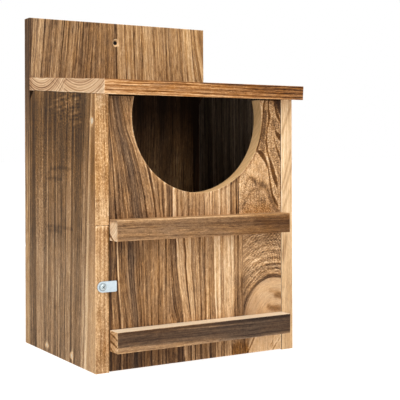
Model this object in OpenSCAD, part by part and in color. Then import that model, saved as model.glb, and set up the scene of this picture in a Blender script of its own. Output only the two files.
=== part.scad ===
// Owl nest box with a swing-up front.
// A tall back board carries two side panels, a floor and a gently sloping
// roof. The front panel hangs between the sides on two pivot nails, has a
// large round entrance that the roof closes off at the top, and two ledges
// on its face. A small turn plate at the lower left keeps it shut.
// Millimetres, +X right seen from the front, -Y out of the front, +Z up.
// The origin is under the middle of the whole box, on the surface it
// stands on.

/* [Box] */
// Outer width across both side panels
box_w = 240; // [232:1:280]
// Thickness of the boards
board_t = 15; // [13:0.5:18]
// Depth of the side panels, from their front edge to the back board
side_d = 175; // [160:1:230]
// Height of the side panels at their front edge
side_h_front = 276; // [276:0.5:300]
// Height of the side panels where they meet the back board
side_h_back = 289; // [284:0.5:300]
// Width of the front strip of the left side panel
strip_w = 22; // [18:1:30]
// Height at which the front strip of the left side panel is butt jointed
strip_joint_z = 146; // [110:1:200]
// Depth of the corner cut off at the top rear of each side
vent_d = 11.5; // [4:0.5:20]
// Height of the corner cut off at the top rear of each side
vent_h = 12; // [4:0.5:20]

/* [Back board] */
// How far the back board stops short of the right side's outer face
back_short = 8; // [0:0.5:9]
// Height of the back board
back_h = 372; // [340:1:420]
// Diameter of the hanging hole
hang_d = 5; // [4:0.1:8]
// Diameter of the countersink round the hanging hole
hang_sink_d = 7.4; // [7:0.1:12]
// Distance of the hanging hole left of the middle of the box
hang_x = 11.2; // [0:0.1:30]
// Distance of the hanging hole below the top of the back board
hang_down = 23; // [15:1:40]

/* [Roof] */
// How far the roof's lower front edge stands out in front of the box
roof_reach = 21; // [10:1:40]

/* [Front] */
// Gap between the front panel and each side panel
front_gap = 0.6; // [0.4:0.1:1.5]
// Height of the front panel's bottom edge
front_bottom = 1; // [0.5:0.1:4]
// Height of the front panel's top edge
front_top = 274.5; // [265:0.5:274.5]
// Diameter of the round entrance
entrance_d = 158; // [120:1:160]
// Height of the entrance's centre
entrance_z = 254.5; // [245:0.5:265]
// Gap behind the front panel before it meets the floor's edge
stop_gap = 0.5; // [0.3:0.1:2]
// Height of the pivot nails
pivot_z = 249.5; // [240:0.5:255]

/* [Ledges] */
// Height of each ledge strip
ledge_h = 21; // [15:0.5:30]
// Depth of each ledge strip
ledge_d = 17; // [12:0.5:20]
// Height of the lower edge of the upper ledge
ledge_upper_z = 130.8; // [120:0.1:145]
// Height of the lower edge of the lower ledge
ledge_lower_z = 21.1; // [15:0.1:40]

/* [Latch] */
// Length of the latch plate
latch_l = 21; // [18:0.5:30]
// Width of the latch plate
latch_w = 11; // [8:0.2:14]
// Thickness of the latch plate
latch_t = 1.2; // [0.8:0.1:2]
// Height of the latch screw
latch_z = 85.5; // [60:0.5:115]
// Distance of the latch screw from the outer face of the left side
latch_x = 7.2; // [6:0.1:9]

/* [Nails] */
// Shank diameter of the joint nails
nail_d = 2; // [1.6:0.1:2.4]
// Head diameter of the joint nails
nail_head_d = 4.6; // [3.5:0.1:5]
// Length of the joint nails
nail_l = 35; // [28:1:38]
// Height of the nails that hold the floor between the side panels
floor_nail_z = 8; // [6:0.5:9]
// Shank diameter of the pivot nails
pivot_d = 3; // [2.5:0.1:3.4]
// Head diameter of the pivot nails
pivot_head_d = 6; // [5:0.1:6.5]
// Length of the pivot nails
pivot_l = 36; // [30:1:37]
// Radial clearance between the pivot nails and the front panel
pivot_clear = 0.06; // [0.03:0.01:0.09]

/* [Hidden] */

$fn = 64;
slope = atan((side_h_back - side_h_front) / side_d);
// furthest forward point of the roof, its upper front edge
roof_nose = roof_reach + board_t * sin(slope);
total_d = roof_nose + side_d + board_t;
// plane of the side panels' front edges, and front face of the back board
y_front = -total_d / 2 + roof_nose;
y_back = y_front + side_d;
x_left = -box_w / 2;
x_right = box_w / 2;
front_w = box_w - 2 * board_t - 2 * front_gap;
// clearance of fixed nails and screws in the wood
snug = 0.02;
// how deep the nail heads are punched below the wood
sunk = 0.3;
nail_head_t = 1;
// the back board is flush with the outer face of the left side
back_w = box_w - back_short;
floor_nail_y = [y_front + 59, y_front + 126];
back_nail_z = [40, 110, 180, 250];
floor_back_nail_x = [-60, 0, 60];
roof_back_nail_x = [-75, 0, 75];
roof_nail_y = [y_front + 48, y_front + 138];
ledge_nail_x = [-86, 0, 86];
ledge_nail_l = 26;
// the rear nails of each side, in the middle of the stretch where the back
// board covers the side panel
back_nail_x = [x_left + board_t / 2, (x_right - board_t + x_left + back_w) / 2];
drain_d = 8;
pivot_y = y_front + board_t / 2;
latch_gap = 0.35;
screw_d = 3;
screw_l = 17;
screw_head_d = 6;
screw_head_t = 2.1;

wood_back = [0.62, 0.47, 0.32];
wood_side = [0.47, 0.36, 0.25];
wood_light = [0.84, 0.66, 0.47];
wood_roof = [0.60, 0.42, 0.27];
wood_front = [0.66, 0.50, 0.34];
wood_ledge = [0.56, 0.42, 0.29];
zinc = [0.84, 0.87, 0.89];
steel = [0.62, 0.62, 0.61];

// height of the side panels' top edge, or of the roof's underside, at y
function top_z(y) = side_h_front + (y - y_front) * tan(slope);

// a board whose outline is drawn in the YZ plane, w thick from x on
module board_yz(x, w, outline)
  translate([x, 0, 0]) rotate([90, 0, 90]) linear_extrude(w) polygon(outline);

// a round wire nail along +Z, its head's outer face at z = 0
module nail(l, d, head_d) {
  tip = 1.6 * d;
  cylinder(h = nail_head_t, d = head_d);
  translate([0, 0, nail_head_t]) cylinder(h = l - tip - nail_head_t, d = d);
  translate([0, 0, l - tip]) cylinder(h = tip, d1 = d, d2 = 0.3);
}

// the hole that such a nail fills, with its head punched in by sunk
module nail_hole(l, d, head_d, c = snug) {
  translate([0, 0, -2]) cylinder(h = 2 + nail_head_t + c, d = head_d + 2 * c);
  cylinder(h = l + 0.4, d = d + 2 * c);
}

// places of the nails: each puts its child's +Z along the nail
module at_left_floor()
  for (y = floor_nail_y) translate([x_left + sunk, y, floor_nail_z]) rotate([0, 90, 0]) children();
module at_right_floor()
  for (y = floor_nail_y) translate([x_right - sunk, y, floor_nail_z]) rotate([0, -90, 0]) children();
module at_back_side(s)
  for (z = back_nail_z) translate([back_nail_x[(s + 1) / 2], y_back + board_t - sunk, z]) rotate([90, 0, 0]) children();
module at_back_floor()
  for (x = floor_back_nail_x) translate([x, y_back + board_t - sunk, board_t / 2]) rotate([90, 0, 0]) children();
module at_back_roof()
  for (x = roof_back_nail_x) translate([x, y_back + board_t - sunk, side_h_back + board_t / 2 - 0.6]) rotate([90, 0, 0]) children();
module at_roof_side(s)
  for (y = roof_nail_y)
    translate([s * (x_right - board_t / 2), y, top_z(y)]) rotate([slope, 0, 0])
      translate([0, 0, board_t - sunk]) rotate([180, 0, 0]) children();
module at_ledge(z)
  for (x = ledge_nail_x) translate([x, y_front + board_t - sunk, z + ledge_h / 2]) rotate([90, 0, 0]) children();
module at_left_pivot()
  translate([x_left + sunk, pivot_y, pivot_z]) rotate([0, 90, 0]) children();
module at_right_pivot()
  translate([x_right - sunk, pivot_y, pivot_z]) rotate([0, -90, 0]) children();
// the latch screw's axis: +Z points out of the front, z = 0 on the wood
module at_latch()
  translate([x_left + latch_x, y_front, latch_z]) rotate([90, 0, 0]) children();

module joint_hole() nail_hole(nail_l, nail_d, nail_head_d);
module joint_nail() nail(nail_l, nail_d, nail_head_d);
module ledge_hole() nail_hole(ledge_nail_l, nail_d, nail_head_d);
module pivot_hole(c) nail_hole(pivot_l, pivot_d, pivot_head_d, c);

// outline of a side panel from y = a to y = b, with the rear corner cut off
// where it reaches the back board
function side_outline(a, b) = b < y_back
  ? [[a, 0], [b, 0], [b, top_z(b)], [a, top_z(a)]]
  : [[a, 0], [b, 0], [b, top_z(b) - vent_h], [b - vent_d, top_z(b - vent_d)], [a, top_z(a)]];

module back_board() color(wood_back) difference() {
  translate([x_left, y_back, 0]) cube([back_w, board_t, back_h]);
  translate([-hang_x, y_back - 1, back_h - hang_down]) rotate([-90, 0, 0]) cylinder(h = board_t + 2, d = hang_d);
  translate([-hang_x, y_back - 0.01, back_h - hang_down]) rotate([-90, 0, 0])
    cylinder(h = (hang_sink_d - hang_d) / 2 + 0.01, d1 = hang_sink_d + 0.02, d2 = hang_d);
  at_back_side(-1) joint_hole();
  at_back_side(1) joint_hole();
  at_back_floor() joint_hole();
  at_back_roof() joint_hole();
}

module left_side_panel() color(wood_side) difference() {
  board_yz(x_left, board_t, side_outline(y_front + strip_w, y_back));
  at_left_floor() joint_hole();
  at_back_side(-1) joint_hole();
  at_roof_side(-1) joint_hole();
}

module left_front_strip_upper() color(wood_light) difference() {
  board_yz(x_left, board_t, [
    [y_front, strip_joint_z], [y_front + strip_w, strip_joint_z],
    [y_front + strip_w, top_z(y_front + strip_w)], [y_front, top_z(y_front)]
  ]);
  at_left_pivot() pivot_hole(snug);
}

module left_front_strip_lower() color(wood_light) difference() {
  translate([x_left, y_front, 0]) cube([board_t, strip_w, strip_joint_z]);
  at_latch() translate([0, 0, -screw_l - 0.3]) cylinder(h = screw_l + 1, d = screw_d + 2 * snug);
}

module right_side_panel() color(wood_side) difference() {
  board_yz(x_right - board_t, board_t, side_outline(y_front, y_back));
  at_right_floor() joint_hole();
  at_back_side(1) joint_hole();
  at_roof_side(1) joint_hole();
  at_right_pivot() pivot_hole(snug);
}

module floor_board() color(wood_front) difference() {
  translate([x_left + board_t, y_front + board_t + stop_gap, 0])
    cube([box_w - 2 * board_t, side_d - board_t - stop_gap, board_t]);
  at_left_floor() joint_hole();
  at_right_floor() joint_hole();
  at_back_floor() joint_hole();
  // drain holes
  for (x = [-1, 1], y = [0, 1])
    translate([x * (box_w / 2 - board_t - 30), y_front + board_t + 30 + y * (side_d - board_t - 60), -1])
      cylinder(h = board_t + 2, d = drain_d);
}

// square cut at the front, cut plumb where it meets the back board
module roof_board() color(wood_roof) difference() {
  board_yz(x_left, box_w, [
    [y_front - roof_reach, top_z(y_front - roof_reach)],
    [y_back, side_h_back],
    [y_back, side_h_back + board_t / cos(slope)],
    [y_front - roof_nose, top_z(y_front - roof_reach) + board_t * cos(slope)]
  ]);
  at_back_roof() joint_hole();
  at_roof_side(-1) joint_hole();
  at_roof_side(1) joint_hole();
}

module front_panel() color(wood_front) difference() {
  translate([-front_w / 2, y_front, front_bottom]) cube([front_w, board_t, front_top - front_bottom]);
  translate([0, y_front - 1, entrance_z]) rotate([-90, 0, 0]) cylinder(h = board_t + 2, d = entrance_d, $fn = 128);
  at_left_pivot() pivot_hole(pivot_clear);
  at_right_pivot() pivot_hole(pivot_clear);
  at_ledge(ledge_upper_z) ledge_hole();
  at_ledge(ledge_lower_z) ledge_hole();
}

module ledge(z) color(wood_ledge) difference() {
  translate([-front_w / 2, y_front - ledge_d, z]) cube([front_w, ledge_d, ledge_h]);
  at_ledge(z) ledge_hole();
}
module upper_ledge() ledge(ledge_upper_z);
module lower_ledge() ledge(ledge_lower_z);

// round end on the screw, square end with small corner radii over the front
module latch_plate() color(zinc) at_latch() translate([0, 0, latch_gap]) linear_extrude(latch_t) difference() {
  r = latch_w / 2;
  c = 1.5;
  union() {
    circle(r = r);
    translate([0, -r]) square([latch_l - r - c, latch_w]);
    translate([0, -r + c]) square([latch_l - r, latch_w - 2 * c]);
    for (s = [-1, 1]) translate([latch_l - r - c, s * (r - c)]) circle(r = c);
  }
  circle(d = screw_d + 0.16);
}

module latch_screw() color(steel) at_latch() {
  z_head = latch_gap + latch_t + 0.05;
  tip = 5;
  difference() {
    union() {
      translate([0, 0, -screw_l]) cylinder(h = tip, d1 = 0.4, d2 = screw_d);
      translate([0, 0, -screw_l + tip]) cylinder(h = screw_l - tip + z_head, d = screw_d);
      intersection() {
        translate([0, 0, z_head]) cylinder(h = screw_head_t, d = screw_head_d);
        translate([0, 0, z_head + screw_head_t - 4.2]) sphere(r = 4.2);
      }
    }
    for (a = [45, 135]) rotate([0, 0, a]) translate([-1.7, -0.35, z_head + screw_head_t - 1.2]) cube([3.4, 0.7, 2]);
  }
}

module left_pivot_nail() color(steel) at_left_pivot() nail(pivot_l, pivot_d, pivot_head_d);
module right_pivot_nail() color(steel) at_right_pivot() nail(pivot_l, pivot_d, pivot_head_d);
module left_floor_nails() color(steel) at_left_floor() joint_nail();
module right_floor_nails() color(steel) at_right_floor() joint_nail();
module back_left_nails() color(steel) at_back_side(-1) joint_nail();
module back_right_nails() color(steel) at_back_side(1) joint_nail();
module back_floor_nails() color(steel) at_back_floor() joint_nail();
module back_roof_nails() color(steel) at_back_roof() joint_nail();
module roof_left_nails() color(steel) at_roof_side(-1) joint_nail();
module roof_right_nails() color(steel) at_roof_side(1) joint_nail();
module upper_ledge_nails() color(steel) at_ledge(ledge_upper_z) nail(ledge_nail_l, nail_d, nail_head_d);
module lower_ledge_nails() color(steel) at_ledge(ledge_lower_z) nail(ledge_nail_l, nail_d, nail_head_d);

back_board();
left_side_panel();
left_front_strip_upper();
left_front_strip_lower();
right_side_panel();
floor_board();
roof_board();
front_panel();
upper_ledge();
lower_ledge();
latch_plate();
latch_screw();
left_pivot_nail();
right_pivot_nail();
left_floor_nails();
right_floor_nails();
back_left_nails();
back_right_nails();
back_floor_nails();
back_roof_nails();
roof_left_nails();
roof_right_nails();
upper_ledge_nails();
lower_ledge_nails();
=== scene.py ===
import bpy, bmesh, math
import numpy as np
from mathutils import Vector, Matrix


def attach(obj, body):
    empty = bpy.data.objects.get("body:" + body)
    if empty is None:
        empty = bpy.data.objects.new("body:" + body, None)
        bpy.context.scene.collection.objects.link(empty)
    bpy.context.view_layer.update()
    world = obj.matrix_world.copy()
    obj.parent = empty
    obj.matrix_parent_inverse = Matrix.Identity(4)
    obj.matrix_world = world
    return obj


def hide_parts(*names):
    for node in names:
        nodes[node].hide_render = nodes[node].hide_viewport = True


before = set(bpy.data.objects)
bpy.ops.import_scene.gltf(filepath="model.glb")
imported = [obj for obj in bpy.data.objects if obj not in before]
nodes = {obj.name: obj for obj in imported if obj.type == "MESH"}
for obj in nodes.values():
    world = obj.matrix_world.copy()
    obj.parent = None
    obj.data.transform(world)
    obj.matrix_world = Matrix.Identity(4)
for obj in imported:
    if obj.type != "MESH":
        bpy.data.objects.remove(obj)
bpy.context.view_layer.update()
scene = bpy.context.scene

# Lengths in this script are millimetres in the row frame, unless a name ends in _m.
Y_FRONT, Y_BACK, Y_REAR = -83.94439, 91.05561, 106.05561
SLOPE = math.atan2(13.0, 175.0)
EX, EZ, ER = 0.0, 254.5, 79.0          # entrance


# ================================================================ camera
YAW, PITCH, ROLL = 0.54426, 0.0027382, -0.0036111
fwd = Vector((math.sin(YAW) * math.cos(PITCH), math.cos(YAW) * math.cos(PITCH), math.sin(PITCH)))
right = Vector((math.cos(YAW), -math.sin(YAW), 0.0))
up = right.cross(fwd)
right2 = right * math.cos(ROLL) + up * math.sin(ROLL)
up2 = -right * math.sin(ROLL) + up * math.cos(ROLL)
cam_data = bpy.data.cameras.new("camera")
cam = bpy.data.objects.new("camera", cam_data)
scene.collection.objects.link(cam)
cam.matrix_world = Matrix.Translation((-0.52083, -0.9454144, 0.21754)) @ Matrix((right2, up2, -fwd)).transposed().to_4x4()
cam_data.sensor_width = 36.0
cam_data.lens = 961.8 / 400 * 36
cam_data.shift_y = -0.125
cam_data.clip_start, cam_data.clip_end = 0.05, 60
scene.camera = cam


# ================================================================ light and floor
scene.view_settings.view_transform = "Standard"
scene.view_settings.look = "None"
world = bpy.data.worlds.new("studio")
scene.world = world
world.use_nodes = True
wt = world.node_tree
wt.nodes.clear()
w_out = wt.nodes.new("ShaderNodeOutputWorld")
w_fill = wt.nodes.new("ShaderNodeBackground")
w_fill.inputs["Color"].default_value = (1, 1, 1, 1)
w_fill.inputs["Strength"].default_value = 0.44
w_seen = wt.nodes.new("ShaderNodeBackground")
w_seen.inputs["Color"].default_value = (1, 1, 1, 1)
w_seen.inputs["Strength"].default_value = 1.0
w_path = wt.nodes.new("ShaderNodeLightPath")
w_mix = wt.nodes.new("ShaderNodeMixShader")
wt.links.new(w_path.outputs["Is Camera Ray"], w_mix.inputs["Fac"])
wt.links.new(w_fill.outputs[0], w_mix.inputs[1])
wt.links.new(w_seen.outputs[0], w_mix.inputs[2])
wt.links.new(w_mix.outputs[0], w_out.inputs["Surface"])


def area(name, where, target, size, power, colour=(1, 1, 1)):
    data = bpy.data.lights.new(name, "AREA")
    data.shape = "RECTANGLE"
    data.size, data.size_y = size
    data.energy = power
    data.color = colour
    o = bpy.data.objects.new(name, data)
    scene.collection.objects.link(o)
    o.rotation_mode = "QUATERNION"
    o.rotation_quaternion = (Vector(target) - Vector(where)).to_track_quat("-Z", "Y")
    o.location = where
    return o


area("key", (-0.30, -2.3, 0.7), (0, 0, 0.18), (1.5, 1.2), 10)
area("top", (-0.35, -1.35, 2.1), (0, 0, 0.15), (2.2, 2.2), 40)
area("left", (-2.6, -0.9, 0.9), (0, 0, 0.2), (1.8, 1.8), 10)

floor_mat = bpy.data.materials.new("floor")
floor_mat.use_nodes = True
fb = floor_mat.node_tree.nodes["Principled BSDF"]
fb.inputs["Base Color"].default_value = (0.36, 0.36, 0.36, 1)
fb.inputs["Roughness"].default_value = 0.9
fb.inputs["Emission Color"].default_value = (1, 1, 1, 1)
fb.inputs["Emission Strength"].default_value = 0.88
bm = bmesh.new()
bmesh.ops.create_grid(bm, x_segments=2, y_segments=2, size=20)
me = bpy.data.meshes.new("floor")
bm.to_mesh(me)
bm.free()
floor = bpy.data.objects.new("floor", me)
scene.collection.objects.link(floor)
me.materials.append(floor_mat)


# ================================================================ helpers: smooth noise in numpy
class Noise2:
    """Seeded value noise of two coordinates, from -1 to 1."""

    def __init__(self, seed):
        self.t = np.random.default_rng(seed).random((64, 64)) * 2 - 1

    def __call__(self, a, b=0.0):
        a, b = np.broadcast_arrays(np.asarray(a, float), np.asarray(b, float))
        i, j = np.floor(a).astype(int), np.floor(b).astype(int)
        fa, fb_ = a - i, b - j
        fa, fb_ = fa * fa * (3 - 2 * fa), fb_ * fb_ * (3 - 2 * fb_)
        t = self.t
        i0, i1, j0, j1 = i % 64, (i + 1) % 64, j % 64, (j + 1) % 64
        return (t[i0, j0] * (1 - fa) + t[i1, j0] * fa) * (1 - fb_) + (t[i0, j1] * (1 - fa) + t[i1, j1] * fa) * fb_


def sstep(a, b, x):
    t = np.clip((np.asarray(x, float) - a) / (b - a), 0, 1)
    return t * t * (3 - 2 * t)


def bump(x, c, w):
    return np.exp(-(((np.asarray(x, float) - c) / w) ** 2))


def table(x, *pairs):
    """Straight lines between (x, value) pairs."""
    xs, ys = zip(*sorted(pairs))
    return np.interp(x, xs, ys)


# ================================================================ helpers: grain profiles
class Profile:
    """Tone of the wood across its grain: level bands, with darker or lighter lines on them.
    Tones run from 0, burnt, to 1, bare pale wood."""

    def __init__(self):
        self.bands, self.lines = [], []

    def band(self, a, b, level):
        self.bands.append((a, b, level))
        return self

    def levels(self, *pairs):
        """Bands that follow one another: start of each band and its level; the last pair only ends the row."""
        for (a, l), (b, _) in zip(pairs, pairs[1:]):
            self.bands.append((a, b, l))
        return self

    def line(self, u, half, delta, left=0.7, right=None):
        """A line at u; left and right are the widths over which it fades out on either side."""
        self.lines.append((u, half, delta, left, left if right is None else right))
        return self

    def many(self, *rows):
        for r in rows:
            self.line(*r)
        return self

    def random(self, seed, a, b, level, spread=0.1, gap=6.0, depth=0.22):
        """Bands and lines for a stretch that the photo doesn't show."""
        rng = np.random.default_rng(seed)
        u = a
        while u < b:
            w = gap * (0.35 + 1.3 * rng.random())
            self.band(u, min(u + w, b), level + spread * (2 * rng.random() - 1))
            if rng.random() < 0.8:
                self.line(u, 0.3 + 0.6 * rng.random(), -depth * (0.3 + 0.9 * rng.random()), 0.5, 0.5 + 2.2 * rng.random())
            if rng.random() < 0.35:
                self.line(u + w * 0.5, 0.3 + 0.5 * rng.random(), 0.09 * rng.random())
            u += w
        return self

    def points(self, part):
        xs = set()
        if part == "bands":
            for a, b, l in self.bands:
                xs.update((a + 0.7, b - 0.7) if b - a > 1.5 else ((a + b) / 2,))
        else:
            for u, h, d, l, r in self.lines:
                xs.update((u - h * 0.5 - l, u - h * 0.5, u + h * 0.5, u + h * 0.5 + r))
        xs = np.array(sorted(xs))
        return xs, (self.level(xs) if part == "bands" else self.delta(xs))

    def level(self, u):
        bx, by = [], []
        for a, b, l in sorted(self.bands):
            for x in ((a + 0.7, b - 0.7) if b - a > 1.5 else ((a + b) / 2,)):
                bx.append(x)
                by.append(l)
        return np.interp(u, bx, by)

    def delta(self, u):
        u = np.asarray(u, float)
        t = np.zeros_like(u)
        for c, h, d, l, r in self.lines:
            t = t + d * np.interp(u - c, [-h * 0.5 - l, -h * 0.5, h * 0.5, h * 0.5 + r], [0, 1, 1, 0])
        return np.clip(t, -0.6, 0.4)

    def at(self, u):
        return np.clip(self.level(u) + self.delta(u), 0.0, 1.0)


# ================================================================ helpers: node graphs
def lin(c):
    """sRGB 0-255 to linear."""
    return tuple((v / 255 / 12.92) if v / 255 <= 0.04045 else ((v / 255 + 0.055) / 1.055) ** 2.4 for v in c) + (1.0,)


class Graph:
    def __init__(self, material):
        material.use_nodes = True
        self.nt = material.node_tree
        self.nt.nodes.clear()
        self.out = self.nt.nodes.new("ShaderNodeOutputMaterial")
        self.bsdf = self.nt.nodes.new("ShaderNodeBsdfPrincipled")
        self.link(self.bsdf.outputs[0], self.out.inputs["Surface"])

    def link(self, a, b):
        self.nt.links.new(a, b)

    def put(self, socket, v):
        if isinstance(v, (int, float)):
            socket.default_value = v
        elif isinstance(v, tuple):
            socket.default_value = v
        else:
            self.link(v, socket)

    def math(self, op, a, b=0.0, c=0.0, clamp=False):
        n = self.nt.nodes.new("ShaderNodeMath")
        n.operation = op
        n.use_clamp = clamp
        self.put(n.inputs[0], a)
        self.put(n.inputs[1], b)
        if op in ("MULTIPLY_ADD", "SMOOTH_MIN", "SMOOTH_MAX", "WRAP", "COMPARE"):
            self.put(n.inputs[2], c)
        return n.outputs[0]

    def add(self, a, b):
        return self.math("ADD", a, b)

    def mul(self, a, b):
        return self.math("MULTIPLY", a, b)

    def mad(self, a, b, c):
        return self.math("MULTIPLY_ADD", a, b, c)

    def xyz(self, x, y, z):
        n = self.nt.nodes.new("ShaderNodeCombineXYZ")
        for s, v in zip(n.inputs, (x, y, z)):
            self.put(s, v)
        return n.outputs[0]

    def split(self, v):
        n = self.nt.nodes.new("ShaderNodeSeparateXYZ")
        self.link(v, n.inputs[0])
        return n.outputs

    def attr(self, name):
        n = self.nt.nodes.new("ShaderNodeAttribute")
        n.attribute_name = name
        return n

    def noise(self, vec, detail=2.0, rough=0.5, distortion=0.0):
        n = self.nt.nodes.new("ShaderNodeTexNoise")
        n.inputs["Scale"].default_value = 1.0
        n.inputs["Detail"].default_value = detail
        n.inputs["Roughness"].default_value = rough
        n.inputs["Distortion"].default_value = distortion
        self.link(vec, n.inputs["Vector"])
        return n.outputs[0]

    def centred(self, vec, amp, detail=2.0, rough=0.5):
        """Noise from about -amp to amp."""
        return self.mad(self.noise(vec, detail, rough), 2.0 * amp, -amp)

    def remap(self, v, a, b, lo=0.0, hi=1.0, smooth=False):
        n = self.nt.nodes.new("ShaderNodeMapRange")
        n.interpolation_type = "SMOOTHSTEP" if smooth else "LINEAR"
        n.clamp = True
        self.link(v, n.inputs[0])
        for k, x in ((1, a), (2, b), (3, lo), (4, hi)):
            self.put(n.inputs[k], x)
        return n.outputs[0]

    def ramp(self, v, stops):
        n = self.nt.nodes.new("ShaderNodeValToRGB")
        e = n.color_ramp.elements
        while len(e) > 1:
            e.remove(e[0])
        e[0].position, e[0].color = stops[0]
        for p, c in stops[1:]:
            x = e.new(p)
            x.color = c
        self.link(v, n.inputs[0])
        return n.outputs[0]

    def mix(self, f, a, b, mode="MIX"):
        n = self.nt.nodes.new("ShaderNodeMix")
        n.data_type = "RGBA"
        n.blend_type = mode
        self.put(n.inputs[0], f)
        self.put(n.inputs[6], a)
        self.put(n.inputs[7], b)
        return n.outputs[2]

    def hsv(self, c, hue, sat, val):
        n = self.nt.nodes.new("ShaderNodeHueSaturation")
        self.put(n.inputs["Hue"], hue)
        self.put(n.inputs["Saturation"], sat)
        self.put(n.inputs["Value"], val)
        self.link(c, n.inputs["Color"])
        return n.outputs[0]

    def profile(self, u, prof, part, most=30, widest=75.0):
        """The profile's levels or its lines at u: colour ramps end to end, each over its own stretch."""
        xs, ys = prof.points(part)
        if part == "lines":
            ys = ys * 0.5 + 0.6
        total = None
        i = 0
        while i < len(xs) - 1:
            j = i + 1
            while j < len(xs) - 1 and j - i < most - 1 and xs[j + 1] - xs[i] <= widest:
                j += 1
            a, b = float(xs[i]), float(xs[j])
            if b - a > 1e-6:
                stops = [(float((x - a) / (b - a)), (float(y),) * 3 + (1.0,)) for x, y in zip(xs[i:j + 1], ys[i:j + 1])]
                r = self.ramp(self.remap(u, a, b), stops)
                total = r if total is None else self.add(total, self.math("SUBTRACT", r, float(ys[i])))
            i = j
        return self.mad(total, 2.0, -1.2) if part == "lines" else total


TORCHED = [
    (0.00, (42, 27, 16)), (0.15, (71, 48, 30)), (0.30, (102, 73, 47)), (0.45, (134, 99, 65)),
    (0.60, (167, 127, 84)), (0.75, (198, 157, 110)), (0.90, (223, 187, 141)), (1.00, (238, 209, 170)),
]


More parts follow.
